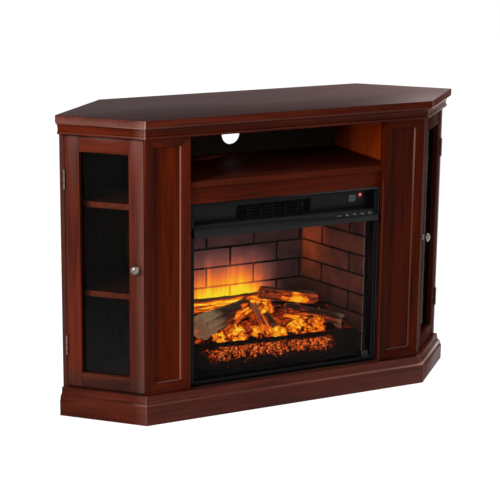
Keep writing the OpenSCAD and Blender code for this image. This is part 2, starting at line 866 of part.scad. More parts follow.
// Black frame: sill, head and two jambs, each a face and a side wall
module insert_frame() {
    jamb = [[frame_x, insert_y], [glass_x, insert_y], [glass_x, firebox_y],
        [glass_x + frame_wall, firebox_y], [glass_x + frame_wall, insert_y + frame_wall],
        [frame_x, insert_y + frame_wall]];
    color(satin_black) placed() union() {
        pair() upright(jamb, base_h, frame_top);
        block([-glass_x - past, insert_y, base_h], [glass_x + past, firebox_y, sill_z]);
        block([-glass_x - past, insert_y, insert_top - head_h], [glass_x + past, firebox_y, frame_top]);
    }
}

// Hood panel with the vent, the display window and the lamp hole
module hood_panel() {
    color(satin_black) placed() difference() {
        block([-glass_x, hood_y, hood_z0], [glass_x, hood_y + sheet_t, insert_top - head_h]);
        block([vent_x - vent_w / 2, hood_y - past, vent_z0],
            [vent_x + vent_w / 2, hood_y + sheet_t + past, vent_z1]);
        block([display_x - display_w / 2, hood_y - past, display_z - display_h / 2],
            [display_x + display_w / 2, hood_y + sheet_t + past, display_z + display_h / 2]);
        translate([lamp_x, hood_y - past, lamp_z]) rotate([-90, 0, 0])
            cylinder(h = sheet_t + 2 * past, r = lamp_r + run_gap, $fn = 36);
    }
}

// Louvred grille behind the vent opening
module vent_louvres() {
    rim = 4;
    x0 = vent_x - vent_w / 2 - rim;
    x1 = vent_x + vent_w / 2 + rim;
    y0 = hood_y + sheet_t;
    slat_t = 1.2;
    slat_depth = 7;
    pitch = (vent_z1 - vent_z0) / louvres;
    color(satin_black) placed() {
        for (x = [x0, x1 - rim]) block([x, y0, vent_z0 - rim], [x + rim, y0 + slat_depth, vent_z1 + rim]);
        for (z = [vent_z0 - rim, vent_z1]) block([x0, y0, z], [x1, y0 + slat_depth, z + rim]);
        for (i = [0:louvres - 1])
            translate([vent_x, y0 + slat_depth / 2, vent_z0 + (i + 0.5) * pitch]) rotate([-35, 0, 0])
                cube([x1 - x0 - rim, slat_depth, slat_t], center = true);
        for (i = [-2:2])
            translate([vent_x + vent_w * i / 6, y0 + slat_depth / 2, (vent_z0 + vent_z1) / 2])
                cube([1.5, slat_depth - 2, vent_z1 - vent_z0 + rim], center = true);
    }
}

// Hollow lip with a sloping front and five key openings near its right end
module control_lip() {
    nose_top = hood_z0 - lip_slope_drop;
    nose_bottom = nose_top - lip_nose;
    w = lip_wall;
    slope_w = w / cos(lip_angle);
    rear_y = hood_y + sheet_t;
    fit_x = glass_x - free_gap;
    color(satin_black) placed() difference() {
        along_x([[rear_y, hood_z0], [lip_top_y, hood_z0], [lip_y0, nose_top], [lip_y0, nose_bottom],
            [insert_y + 2, lip_z0], [rear_y, lip_z0]], -lip_x, lip_x);
        along_x([[rear_y - w, hood_z0 - w], [lip_top_y + w * tan(lip_angle / 2), hood_z0 - w],
            [lip_y0 + w, nose_top - slope_w + w],
            [lip_y0 + w, nose_bottom + w], [insert_y + 2, lip_z0 + w], [rear_y - w, lip_z0 + w]],
            w - fit_x, fit_x - w);
        pair() block([fit_x, insert_y - free_gap, 0], [lip_x + past, rear_y + past, overall_h]);
        for (i = [0:4]) on_slope(key_x + i * key_pitch)
            cube([key_w + 2 * key_gap, key_l + 2 * key_gap, 4 * w], center = true);
    }
}

// Push key: a cap through the lip and a flange under its skin
module push_key(i) {
    placed() on_slope(key_x + i * key_pitch) {
        under = -lip_wall - free_gap;
        block([-key_w / 2, -key_l / 2, under - key_flange_t], [key_w / 2, key_l / 2, key_proud]);
        block([-key_w / 2 - key_flange, -key_l / 2 - key_flange, under - key_flange_t],
            [key_w / 2 + key_flange, key_l / 2 + key_flange, under]);
    }
}

module key_one() {
    color(zinc) push_key(0);
}

module key_two() {
    color(zinc) push_key(1);
}

module key_three() {
    color(zinc) push_key(2);
}

module key_four() {
    color(zinc) push_key(3);
}

module key_five() {
    color(zinc) push_key(4);
}

// Display window and the status lamp's lens, set in the hood panel
module display_windows() {
    slack = run_gap;
    color([0.42, 0.42, 0.48]) placed() {
        block([display_x - display_w / 2 + slack, hood_y + 0.3, display_z - display_h / 2 + slack],
            [display_x + display_w / 2 - slack, hood_y + sheet_t + window_t,
                display_z + display_h / 2 - slack]);
        translate([lamp_x, hood_y - 0.8, lamp_z]) rotate([-90, 0, 0])
            cylinder(h = sheet_t + window_t, r = lamp_r, $fn = 36);
    }
}

// Clear front glass, standing on the sill
module firebox_glass() {
    color(clear_glass) placed() block([-glass_x + joint_gap, glass_y, sill_z],
        [glass_x - joint_gap, glass_y + glass_t, lip_z0]);
}

// Bent clip at the lower right corner of the glass
module glass_clip() {
    clip_w = 24;
    clip_h = 16;
    clip_t = 1.2;
    color(zinc) placed() union() {
        block([glass_x - clip_w, glass_y - clip_t, sill_z], [glass_x - 2, glass_y, sill_z + clip_h]);
        block([glass_x - clip_w, insert_y + 1, sill_z], [glass_x - 2, glass_y, sill_z + clip_t]);
    }
}

// ---- hearth insert: firebox -------------------------------------------

module brick_back() {
    first = floor((floor_z - course_z) / course_h);
    last = ceil((firebox_top - course_z) / course_h);
    face_y = brick_back_y + mortar_d;
    edge_x = brick_rear_x - brick_t * wall_lean / wall_run - joint_gap;
    color(brick_red) placed() difference() {
        block([-edge_x, brick_back_y, floor_z], [edge_x, brick_back_y + brick_t, firebox_top]);
        for (c = [first:last]) {
            z = course_z + c * course_h;
            block([-half_w, brick_back_y - past, z - mortar_w / 2], [half_w, face_y, z + mortar_w / 2]);
            shift = back_joint_x + (c % 2 == 0 ? 0 : brick_l / 2);
            for (k = [-3:3])
                block([shift + k * brick_l - mortar_w / 2, brick_back_y - past, z],
                    [shift + k * brick_l + mortar_w / 2, face_y, z + course_h]);
        }
    }
}

// Right side wall: its own x runs back along the wall, y is its thickness
module brick_side() {
    first = floor((floor_z - course_z) / course_h);
    last = ceil((firebox_top - course_z) / course_h);
    intersection() {
        translate([brick_front_x, firebox_y, 0]) rotate([0, 0, 90 + wall_angle]) difference() {
            block([-2 * brick_t, -brick_t, floor_z], [wall_l + 2 * brick_t, 0, firebox_top]);
            for (c = [first:last]) {
                z = course_z + c * course_h;
                block([-past - 2 * brick_t, -mortar_d, z - mortar_w / 2],
                    [2 * wall_l, past, z + mortar_w / 2]);
                shift = side_joint + (c % 2 == 0 ? 0 : side_brick_l / 2);
                for (k = [-1:1])
                    block([shift + k * side_brick_l - mortar_w / 2, -mortar_d, z],
                        [shift + k * side_brick_l + mortar_w / 2, past, z + course_h]);
            }
        }
        block([0, firebox_y, 0], [half_w, brick_back_y + brick_t, overall_h]);
    }
}

module brick_sides() {
    color(brick_red) placed() pair() brick_side();
}

// Moulded log set: crossing logs are one piece
module log_set() {
    color(bark) placed() union() {
        for (shape = logs) log(shape);
    }
}

// Ember bed section, grown inwards by w: apron, glowing face, bar and bank
function bed_section(w) = [
    [bed_y0 + w, floor_z - 30], [bed_y0 + w, sill_z + 14 - w * 0.4], [bed_y0 + 9 + w, sill_z + 19 - w * 0.6],
    [bed_y0 + 14 + w, bar_z - 16 - w * 0.2], [bed_y0 + 18 + w * 0.8, bar_z - w],
    [bed_y0 + 39, bar_z - w], [bed_y0 + 73 + w * 0.2, bar_z + 7 - w],
    [bed_y0 + 117 + w * 0.4, bar_z + 30 - w], [bed_y0 + 158 + w * 0.2, bar_z + 46 - w],
    [bed_y1 - w, bar_z + 47 - w], [bed_y1 - w, floor_z - 30]];

// Thin moulded shell with seats for the logs
module ember_bed() {
    edge = 2;
    lean = wall_lean / wall_run;
    front_x = brick_front_x - edge - lean * (bed_y0 - firebox_y);
    rear_x = brick_front_x - edge - lean * (bed_y1 - firebox_y);
    color(ember) placed() intersection() {
        difference() {
            translate([0, 0, bar_z]) rotate([0, bed_tilt, 0]) translate([0, 0, -bar_z]) difference() {
                along_x(bed_section(0), -half_w, half_w);
                along_x(bed_section(bed_wall), -half_w - past, half_w + past);
            }
            for (shape = logs) log(shape, free_gap);
        }
        upright(both([[front_x, bed_y0], [rear_x, bed_y1]]), floor_z, overall_h);
    }
}

// Lamp strip under the glowing face of the ember bed
module lamp_strip() {
    strip_y = bed_y0 + 22;
    color(zinc) placed() union() {
        block([-ear_x, strip_y, floor_z], [ear_x, strip_y + 14, floor_z + 2]);
        for (i = [-9:9]) block([i * ear_x / 10 - 3, strip_y + 4, floor_z + 1],
            [i * ear_x / 10 + 3, strip_y + 10, floor_z + 4]);
    }
}

// Tray behind the ember bed: its two ears carry the flame rotor
module rotor_tray() {
    color(zinc) placed() difference() {
        union() {
            block([-ear_x - sheet_t, bed_y1 + 2, floor_z],
                [ear_x + sheet_t, brick_back_y - 2, floor_z + sheet_t]);
            for (x = [-ear_x - sheet_t, ear_x])
                block([x, rotor_y - 12, floor_z], [x + sheet_t, rotor_y + 12, rotor_z + 12]);
        }
        x_rod(-half_w, half_w, rotor_y, rotor_z, shaft_r + run_gap);
    }
}

// Turning shaft with a spiral of bright flags
module flame_rotor() {
    span = 2 * ear_x - 30;
    color(zinc) placed() union() {
        x_rod(-ear_x - 6, ear_x + 12, rotor_y, rotor_z, shaft_r);
        for (i = [0:flags - 1])
            translate([-span / 2 + (i + 0.5) * span / flags, rotor_y, rotor_z]) rotate([i * 50, 0, 0])
                cube([span / flags - 4, 0.8, 2 * rotor_r], center = true);
    }
}

// Rotor motor behind the right ear and blower motor on the right cheek
module drive_motors() {
    rotor_x = ear_x + sheet_t;
    blower_x = cheek_x1 + sheet_t;
    color(satin_black) placed() {
        difference() {
            x_rod(rotor_x, rotor_x + rotor_motor_l, rotor_y, rotor_z, rotor_motor_r);
            x_rod(rotor_x - past, rotor_x + 12, rotor_y, rotor_z, shaft_r + run_gap);
        }
        difference() {
            x_rod(blower_x, blower_x + blower_motor_l, wheel_y, wheel_z, blower_motor_r);
            x_rod(blower_x - past, blower_x + 20, wheel_y, wheel_z, shaft_r + run_gap);
        }
    }
}

// ---- hearth insert: warm air ------------------------------------------

// Cross-flow wheel: three discs, a ring of blades and the shaft
module blower_wheel() {
    disc_t = 2;
    blade_depth = 7;
    color(satin_black) placed() union() {
        x_rod(cheek_x0 - 6, cheek_x1 + 16, wheel_y, wheel_z, shaft_r);
        for (x = [wheel_x0, (wheel_x0 + wheel_x1 - disc_t) / 2, wheel_x1 - disc_t])
            x_rod(x, x + disc_t, wheel_y, wheel_z, wheel_r);
        for (i = [0:blades - 1]) translate([wheel_x0, wheel_y, wheel_z]) rotate([i * 360 / blades, 0, 0])
            translate([0, wheel_r - blade_depth - 0.5, 0]) rotate([25, 0, 0])
                cube([wheel_x1 - wheel_x0, blade_depth, 0.8]);
    }
}

// Two cheeks with the shaft bores, and the curved sheet behind the wheel
module blower_housing() {
    cheek_y0 = hood_y + 26;
    cheek_y1 = wheel_y + scroll_r + 3;
    cheek_z0 = firebox_top + sheet_t;
    color(zinc) placed() difference() {
        union() {
            for (x = [cheek_x0 - sheet_t, cheek_x1])
                block([x, cheek_y0, cheek_z0], [x + sheet_t, cheek_y1, wheel_z + scroll_r + 3]);
            intersection() {
                difference() {
                    x_rod(cheek_x0, cheek_x1, wheel_y, wheel_z, scroll_r + sheet_t);
                    x_rod(cheek_x0 - past, cheek_x1 + past, wheel_y, wheel_z, scroll_r);
                }
                block([cheek_x0, wheel_y, 0], [cheek_x1, cheek_y1, overall_h]);
            }
            for (z = [wheel_z - scroll_r - sheet_t, wheel_z + scroll_r])
                block([cheek_x0, cheek_y0, z], [cheek_x1, wheel_y + past, z + sheet_t]);
        }
        x_rod(cheek_x0 - 2 * past - sheet_t, cheek_x1 + 2 * past + sheet_t, wheel_y, wheel_z,
            shaft_r + run_gap);
    }
}

// Finned heater in the air path, held between the cheeks
module heater_bar() {
    bar_y = hood_y + 29;
    fins = 24;
    color([0.55, 0.35, 0.15]) placed() union() {
        block([cheek_x0, bar_y, heater_z0 + 8], [cheek_x1, bar_y + 8, heater_z0 + 18]);
        for (i = [0:fins - 1])
            translate([cheek_x0 + (i + 0.5) * (cheek_x1 - cheek_x0) / fins, bar_y + 4, heater_z0 + 13])
                cube([1, 8, 26], center = true);
    }
}

// Circuit board on four posts, with its relay, transformer and connector
module control_board() {
    x0 = cheek_x1 + blower_motor_l + 16;
    x1 = x0 + board_w;
    y0 = wheel_y - 10;
    y1 = y0 + board_d;
    z0 = firebox_top + sheet_t;
    top_z = z0 + post_h + 1.6;
    color([0.10, 0.32, 0.16]) placed() union() {
        block([x0, y0, z0 + post_h], [x1, y1, top_z]);
        for (x = [x0 + 8, x1 - 8], y = [y0 + 8, y1 - 8])
            translate([x, y, z0]) cylinder(h = post_h + 0.5, r = 3, $fn = 24);
        block([x0 + 22, y0 + 24, top_z - 0.5], [x0 + 58, y0 + 54, top_z + 25]);
        block([x1 - 50, y0 + 14, top_z - 0.5], [x1 - 26, y0 + 34, top_z + 15]);
        block([x1 - 50, y0 + 44, top_z - 0.5], [x1 - 20, y0 + 66, top_z + 12]);
    }
}

// Three-pin power socket in the casing's back
module power_inlet() {
    flange = 4;
    face_y = housing_back_y + sheet_t;
    color(satin_black) placed() difference() {
        union() {
            block([inlet_x - inlet_w / 2 + run_gap, housing_back_y - 18, inlet_z - inlet_h / 2 + run_gap],
                [inlet_x + inlet_w / 2 - run_gap, face_y + 1, inlet_z + inlet_h / 2 - run_gap]);
            block([inlet_x - inlet_w / 2 - flange, face_y, inlet_z - inlet_h / 2 - flange],
                [inlet_x + inlet_w / 2 + flange, face_y + 3, inlet_z + inlet_h / 2 + flange]);
        }
        difference() {
            block([inlet_x - 11.5, housing_back_y - 12, inlet_z - 8],
                [inlet_x + 11.5, face_y + 3 + past, inlet_z + 8]);
            for (pin = [[-7, -1.5], [7, -1.5], [0, 2.5]])
                block([inlet_x + pin[0] - 1, housing_back_y - 14, inlet_z + pin[1] - 2],
                    [inlet_x + pin[0] + 1, housing_back_y - 4, inlet_z + pin[1] + 2]);
        }
    }
}

top_slab();
cornice_front();
cornice_sides();
carcass_rails();
left_pilaster();
right_pilaster();
pilaster_panels();
left_divider();
right_divider();
left_side_panel();
right_side_panel();
back_panel();
bottom_panel();
base_front();
base_sides();
media_shelf();
apron_rail();
cabinet_shelves();
shelf_pins();
case_hinge_leaves();
hinge_pins();
door_catches();
left_door_frame();
left_door_glass();
left_door_retainers();
left_door_knob();
left_door_hardware();
right_door_frame();
right_door_glass();
right_door_retainers();
right_door_knob();
right_door_hardware();
housing_sides();
housing_plates();
housing_back();
insert_frame();
hood_panel();
vent_louvres();
control_lip();
key_one();
key_two();
key_three();
key_four();
key_five();
display_windows();
firebox_glass();
glass_clip();
brick_back();
brick_sides();
log_set();
ember_bed();
lamp_strip();
rotor_tray();
flame_rotor();
drive_motors();
blower_wheel();
blower_housing();
heater_bar();
control_board();
power_inlet();
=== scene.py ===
import json
import math

import bpy
from mathutils import Euler, Matrix, Vector


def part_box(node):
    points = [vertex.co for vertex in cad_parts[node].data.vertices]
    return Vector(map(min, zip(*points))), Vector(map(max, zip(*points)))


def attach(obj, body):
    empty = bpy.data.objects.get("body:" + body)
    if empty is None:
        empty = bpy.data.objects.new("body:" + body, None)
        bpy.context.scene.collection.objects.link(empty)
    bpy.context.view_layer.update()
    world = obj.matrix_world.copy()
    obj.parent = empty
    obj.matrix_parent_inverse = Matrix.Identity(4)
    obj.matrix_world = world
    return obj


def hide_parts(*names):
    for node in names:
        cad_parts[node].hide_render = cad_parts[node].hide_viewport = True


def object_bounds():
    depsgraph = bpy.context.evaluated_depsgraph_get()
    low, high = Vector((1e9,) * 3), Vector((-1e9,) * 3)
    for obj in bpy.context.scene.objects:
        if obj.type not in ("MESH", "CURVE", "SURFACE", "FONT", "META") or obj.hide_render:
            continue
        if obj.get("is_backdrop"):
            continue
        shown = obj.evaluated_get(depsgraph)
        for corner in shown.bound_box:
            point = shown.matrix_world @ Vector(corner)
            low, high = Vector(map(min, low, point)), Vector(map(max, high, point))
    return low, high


# Corner media fireplace: stained cherry case, glazed doors, black hearth insert with
# brick liner, moulded logs and a glowing ember bed. All lengths are in metres.
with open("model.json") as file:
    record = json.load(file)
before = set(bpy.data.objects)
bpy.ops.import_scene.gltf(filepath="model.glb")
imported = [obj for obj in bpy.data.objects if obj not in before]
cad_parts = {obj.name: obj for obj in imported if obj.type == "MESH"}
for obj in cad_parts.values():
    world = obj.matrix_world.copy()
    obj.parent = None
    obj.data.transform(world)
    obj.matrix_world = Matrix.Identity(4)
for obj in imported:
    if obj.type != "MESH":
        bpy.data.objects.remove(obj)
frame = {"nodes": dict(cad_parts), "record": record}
nodes = frame["nodes"]
cad_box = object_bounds()

# ---- places on the part --------------------------------------------------

HALF_DEPTH = 0.1905
FRONT_Y = 0.024 - HALF_DEPTH  # front faces of the case
CASE_CORNER = (0.42166, FRONT_Y)  # where a front chamfer starts
SLAB_TOP = 0.819
SLAB_HIGHLIGHT_Y = 0.03  # painted highlight on the slab's left side ends here, behind its side corner
UPPER_FILLET, LOWER_FILLET = 0.7955, 0.7718  # foot of the one, middle of the other
LEDGE_Z = 0.0545  # ledge of the base moulding
BAY_X = 0.29396  # inner edges of the pilasters
EDGE_HIGHLIGHT_Z = 0.60  # and how high up their painted highlight goes
PILASTER_DEPTH, PILASTER_MIDDLE = 0.020, 0.358
PANEL_X = (0.32196, 0.39366)
PANEL_Z = (0.108, 0.742)
PANE_U = (0.047, 0.1863)  # pane of a door, along the chamfer
PANE_Z = (0.120, 0.723)
BRICK_BACK_Y = 0.339 - HALF_DEPTH
BRICK_FRONT = (0.26896, 0.076 - HALF_DEPTH)
BRICK_REAR_X = 0.21496
COURSE, COURSE_Z = 0.0573, 0.317  # pitch of the courses and one joint's height
SIDE_BRICK, SIDE_JOINT = 0.238, 0.064  # pitch of the bricks and one upright joint
BACK_BRICK, BACK_JOINT = 0.152, -0.0235
BAR_Z = 0.166  # dark bar across the ember bed
BED_Y = 0.079 - HALF_DEPTH
BED_TILT = math.radians(1.7)
FIRE_X = -0.005  # middle of the glowing part of the bed
KEY_X, KEY_PITCH, KEY_Z = 0.16096, 0.0245, 0.5111
RED_LAMP = (0.24796, 0.0720 - HALF_DEPTH, 0.5561)
CHIPS_Z = 0.4975  # on the control board there are only chips above this
ROOT2 = math.sqrt(2)


def times(colour, by):
    return tuple(c * by for c in colour)


# ---- shader maths --------------------------------------------------------

class Value:
    """A socket of a material. Arithmetic on it adds Math nodes."""

    def __init__(self, finish, socket):
        self.finish, self.socket = finish, socket

    def maths(self, operation, *others):
        return self.finish.node("ShaderNodeMath", {"operation": operation}, self, *others)

    def __add__(self, other):
        return self.maths("ADD", other)

    def __sub__(self, other):
        return self.maths("SUBTRACT", other)

    def __rsub__(self, other):
        return self.finish.node("ShaderNodeMath", {"operation": "SUBTRACT"}, other, self)

    def __mul__(self, other):
        return self.maths("MULTIPLY", other)

    def __truediv__(self, other):
        return self.maths("DIVIDE", other)

    def __mod__(self, other):
        return self.maths("FLOORED_MODULO", other)

    def __pow__(self, other):
        return self.maths("POWER", other)

    def __gt__(self, other):
        return self.maths("GREATER_THAN", other)

    def __lt__(self, other):
        return self.maths("LESS_THAN", other)

    def __abs__(self):
        return self.maths("ABSOLUTE")

    def __floor__(self):
        return self.maths("FLOOR")

    def __round__(self):
        return self.maths("ROUND")

    def most(self, other):
        return self.maths("MAXIMUM", other)

    def least(self, other):
        return self.maths("MINIMUM", other)

    def ramp(self, low, high):
        """0 at low, 1 at high, smooth between them."""
        return self.finish.node("ShaderNodeMapRange", {"interpolation_type": "SMOOTHSTEP"},
                                self, low, high, 0.0, 1.0)

    def fall(self, low, high):
        """1 at low, 0 at high, smooth between them."""
        return 1 - self.ramp(low, high)

    def line(self, at, half, reach):
        """1 up to half its width from a place, 0 beyond the reach."""
        return abs(self - at).fall(half, reach)

    __radd__, __rmul__ = __add__, __mul__


def set_stops(ramp, stops):
    while len(ramp.elements) < len(stops):
        ramp.elements.new(0.5)
    for element, (at, colour) in zip(ramp.elements, stops):
        element.position, element.color = at, (*colour, 1)


class Finish:
    """A material or world being made, with its place sockets ready."""

    def __init__(self, name, kind="Material"):
        owners = {"Material": bpy.data.materials, "World": bpy.data.worlds}[kind]
        self.made = owners.new(name)
        self.made.use_nodes = True
        self.tree = self.made.node_tree
        self.tree.nodes.clear()
        self.out = self.tree.nodes.new("ShaderNodeOutput" + kind)
        self.place = self.node("ShaderNodeTexCoord", {}, output="Object")
        self.x, self.y, self.z = (self.node("ShaderNodeSeparateXYZ", {}, self.place, output=axis)
                                  for axis in "XYZ")

    def put(self, value, socket):
        """Links a value to a socket, or sets it there."""
        if isinstance(value, Value):
            self.tree.links.new(value.socket, socket)
        elif value is not None:
            socket.default_value = value

    def node(self, kind, settings, *inputs, output=0, **named):
        """Makes a node: its settings first, then its sockets in order or by name."""
        made = self.tree.nodes.new(kind)
        for key, value in settings.items():
            if key == "stops":
                set_stops(made.color_ramp, value)
            else:
                setattr(made, key, value)
        for socket, value in zip(made.inputs, inputs):
            self.put(value, socket)
        for key, value in named.items():
            self.put(value, made.inputs[key.replace("_", " ")])
        return Value(self, made.outputs[output])

    def vector(self, x, y, z):
        return self.node("ShaderNodeCombineXYZ", {}, x, y, z)

    def moved(self, where, x, y, z):
        """A place pushed about, so that the pattern on it isn't regular."""
        return self.node("ShaderNodeVectorMath", {"operation": "ADD"}, where, self.vector(x, y, z))

    def stretched(self, x, y, z):
        return self.node("ShaderNodeMapping", {}, self.place, Scale=(x, y, z))

    def noise(self, where, scale, detail=3.0, rough=0.5, warp=0.0):
        return self.node("ShaderNodeTexNoise", {}, Vector=where, Scale=scale, Detail=detail,
                         Roughness=rough, Distortion=warp)

    def cracks(self, where, scale):
        """0 on the cracks between broken pieces, more towards their middles."""
        return self.node("ShaderNodeTexVoronoi", {"feature": "DISTANCE_TO_EDGE"},
                         Vector=where, Scale=scale)

    def pieces(self, where, scale):
        """A number for each of the same broken pieces."""
        colour = self.node("ShaderNodeTexVoronoi", {}, Vector=where, Scale=scale, output="Color")
        return self.node("ShaderNodeSeparateColor", {}, colour)

    def mix(self, amount, one, other, blend="MIX"):
        colours = (colour if isinstance(colour, Value) else (*colour, 1) for colour in (one, other))
        return self.node("ShaderNodeMix", {"data_type": "RGBA", "blend_type": blend},
                         amount, *[None] * 5, *colours, output=2)

    def shades(self, amount, *stops):
        """Colour ramp: each stop is a place and a colour."""
        return self.node("ShaderNodeValToRGB", {"stops": stops}, amount)

    def bump(self, height, depth, strength=1.0):
        return self.node("ShaderNodeBump", {}, Height=height, Distance=depth, Strength=strength)

    def end(self, shader):
        """Ends with a shader, and gives back what was made."""
        self.put(shader, self.out.inputs[0])
        return self.made

    def surface(self, colour, rough, bump=None, glow=None, **constants):
        named = {"Base_Color": colour, "Roughness": rough, "Normal": bump, **constants}
        if glow:
            named.update(Emission_Color=glow, Emission_Strength=1.0)
        return self.end(self.node("ShaderNodeBsdfPrincipled", {}, **named))


# ---- grain of each member ------------------------------------------------

# Each gives the grain's run, width and depth, and a number that sets one member's figure
# apart from the next's.

def chamfer_place(f):
    """u along the front chamfer, v into the case, on either side."""
    x = abs(f.x)
    corner_x, corner_y = CASE_CORNER
    u = (x + f.y - (corner_x + corner_y)) / ROOT2
    v = (f.y - x + (corner_x - corner_y)) / ROOT2
    return u, v


def upright_grain(f):
    return f.z, f.x, f.y, 0.0


def level_grain(f):
    return f.x, f.z, f.y, 1.7


def side_grain(f):
    u, v = chamfer_place(f)
    return u, f.z, v, 5.3


def top_grain(f):
    return f.x, f.y, f.z, 9.1


def panel_grain(f):
    return f.z, f.x, f.y, right_half(f) * 4.0 + 2.0


def rear_side_grain(f):
    return f.z, (abs(f.x) - f.y) / ROOT2, (abs(f.x) + f.y) / ROOT2, 3.0


def door_grain(f):
    u, v = chamfer_place(f)
    upper = f.z > PANE_Z[1]
    rail = (u > PANE_U[0]) * (u < PANE_U[1]) * ((f.z < PANE_Z[0]) + upper)
    run = f.z + (u - f.z) * rail
    wide = u + (f.z - u) * rail
    stile = (1 - rail) * (u > 0.1)
    return run, wide, v, right_half(f) * 3.3 + rail * 7.1 + stile * 1.9 + upper * rail * 2.3


def pilaster_grain(f):
    x = abs(f.x)
    beside = (PANEL_X[0] - x).most(x - PANEL_X[1])
    above = (PANEL_Z[0] - f.z).most(f.z - PANEL_Z[1])
    rail = (above > beside) * (f.y < FRONT_Y + PILASTER_DEPTH)
    run = f.z + (f.x - f.z) * rail
    wide = f.x + (f.z - f.x) * rail
    return run, wide, f.y, right_half(f) * 5.1 + rail * 3.7 + (x > PILASTER_MIDDLE) * 2.2


# ---- where wood takes painted highlights, painted shade, gathered stain or lacquer ---

def right_half(f):
    return f.x > 0


def past_corner(f):
    """Distance round the front corner, on to the chamfer."""
    return abs(f.x) - CASE_CORNER[0] + (f.y - CASE_CORNER[1]) * math.tan(math.pi / 8)


def front_corner_highlight(f):
    """Painted highlight: a pale line and soft shine where a chamfer member meets the front."""
    past = past_corner(f)
    near = (past > -0.001) * (f.y < 0.0)
    return near * (past.fall(0.001, 0.0040) * 0.42 + past.fall(0.002, 0.040) * 0.19)


def slab_face(f):
    return f.z.ramp(SLAB_TOP - 0.0012, SLAB_TOP - 0.0004)


def slab_highlight(f):
    """Painted highlights on the edges of the slab: its front corners, its left side and its lower
    arris.
    """
    chamfer = (f.x < 0) * (f.y < SLAB_HIGHLIGHT_Y) * past_corner(f).ramp(-0.002, 0.002)
    left = chamfer * (0.22 - f.z.ramp(0.802, SLAB_TOP) * 0.16)
    arris = f.z.fall(SLAB_TOP - 0.0192, SLAB_TOP - 0.0180) * 0.20
    return (front_corner_highlight(f) * 1.4 + left) * (1 - slab_face(f)) + arris


def upper_fillet(f):
    return f.z.ramp(UPPER_FILLET, UPPER_FILLET + 0.0013)


def lower_fillet(f):
    return f.z.line(LOWER_FILLET, 0.0006, 0.0022)


# Painted highlights along the front cornice's fillets.
def cornice_front_highlight(f):
    return upper_fillet(f) * 0.16 + lower_fillet(f) * 0.06


def cornice_side_highlight(f):
    """Painted highlights along the chamfer's cornice fillets, palest at the front corner."""
    near = 0.35 + past_corner(f).fall(0.0, 0.16) * 0.65 + right_half(f) * 1.1
    lines = upper_fillet(f) * 0.55 + lower_fillet(f) * 0.25
    return (lines * near + front_corner_highlight(f) * 1.3).least(1.0)


def cornice_lacquer(f):
    """Thick lacquer on the upper fillet of the right stretch."""
    return f.z.ramp(UPPER_FILLET - 0.0005, UPPER_FILLET + 0.0007) * right_half(f)


def ledge_line(f):
    return f.z.line(LEDGE_Z, 0.0008, 0.0034)


def base_front_highlight(f):
    """Painted highlight along the ledge of the base, fainter towards the left."""
    return ledge_line(f) * (0.10 + f.x.ramp(-0.20, 0.35) * 0.34 + f.x.ramp(0.30, 0.43) * 0.40)


# Painted highlights on the ledge and front corner of the base's chamfers.
def base_side_highlight(f):
    near = past_corner(f).fall(0.0, 0.06)
    return ledge_line(f) * (near * 0.34 + right_half(f) * 0.22) + front_corner_highlight(f) * 0.6


def base_lacquer(f):
    """Thick lacquer on the ledge of the right stretch."""
    return ledge_line(f) * right_half(f)


def panel_bead_highlight(f):
    """Painted highlights on the bead on the right side and at the foot of each pilaster's panel,
    and on the lower part of the pilaster's inner edge."""
    x = abs(f.x)
    left = f.x.line(-PANEL_X[0], 0.0006, 0.0026)
    right = f.x.line(PANEL_X[1], 0.0006, 0.0026) * (0.34 + f.z.ramp(0.50, 0.68) * 0.5)
    sides = (left + right) * (f.z > PANEL_Z[0]) * (f.z < PANEL_Z[1])
    foot = f.z.line(PANEL_Z[0], 0.0006, 0.0026) * (x > PANEL_X[0]) * (x < PANEL_X[1])
    inner = (x - BAY_X).fall(0.0004, 0.0016) * (f.y < FRONT_Y + 0.002) * (f.z < EDGE_HIGHLIGHT_Z)
    return sides * 0.5 + foot * 0.28 + inner * 0.15


def door_joint_and_shade_lines(f):
    """Dark lines: painted shade at a door's foot and head, and joints where its rails meet its
    stiles.
    """
    u = chamfer_place(f)[0]
    low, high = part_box("left_door_frame")
    # painted shade along the door's foot and under its head
    edge = (f.z - low[2]).fall(0.0008, 0.0030).most((high[2] - f.z).fall(0.0012, 0.0040))
    joint = u.line(PANE_U[0], 0.0003, 0.0014).most(u.line(PANE_U[1], 0.0003, 0.0014))
    rail = ((f.z < PANE_Z[0]) + (f.z > PANE_Z[1])).least(1.0)
    return (edge * 0.85).most(joint * rail * 0.45)


# Painted shade: where the door's lower rail takes darker tones.
def lower_rail_shade(f):
    return f.z.fall(0.090, 0.150)


def shelf_inside_shade(f):
    """Behind the front edge of a cabinet shelf, where painted shade lies."""
    return chamfer_place(f)[1].ramp(0.0362, 0.0372)


# colour of painted highlights on edges, and the dark of joints and of painted shade lines
HIGHLIGHT_TONE = (0.52, 0.27, 0.22)
JOINT_AND_SHADE_DARK = (0.008, 0.0016, 0.0010)


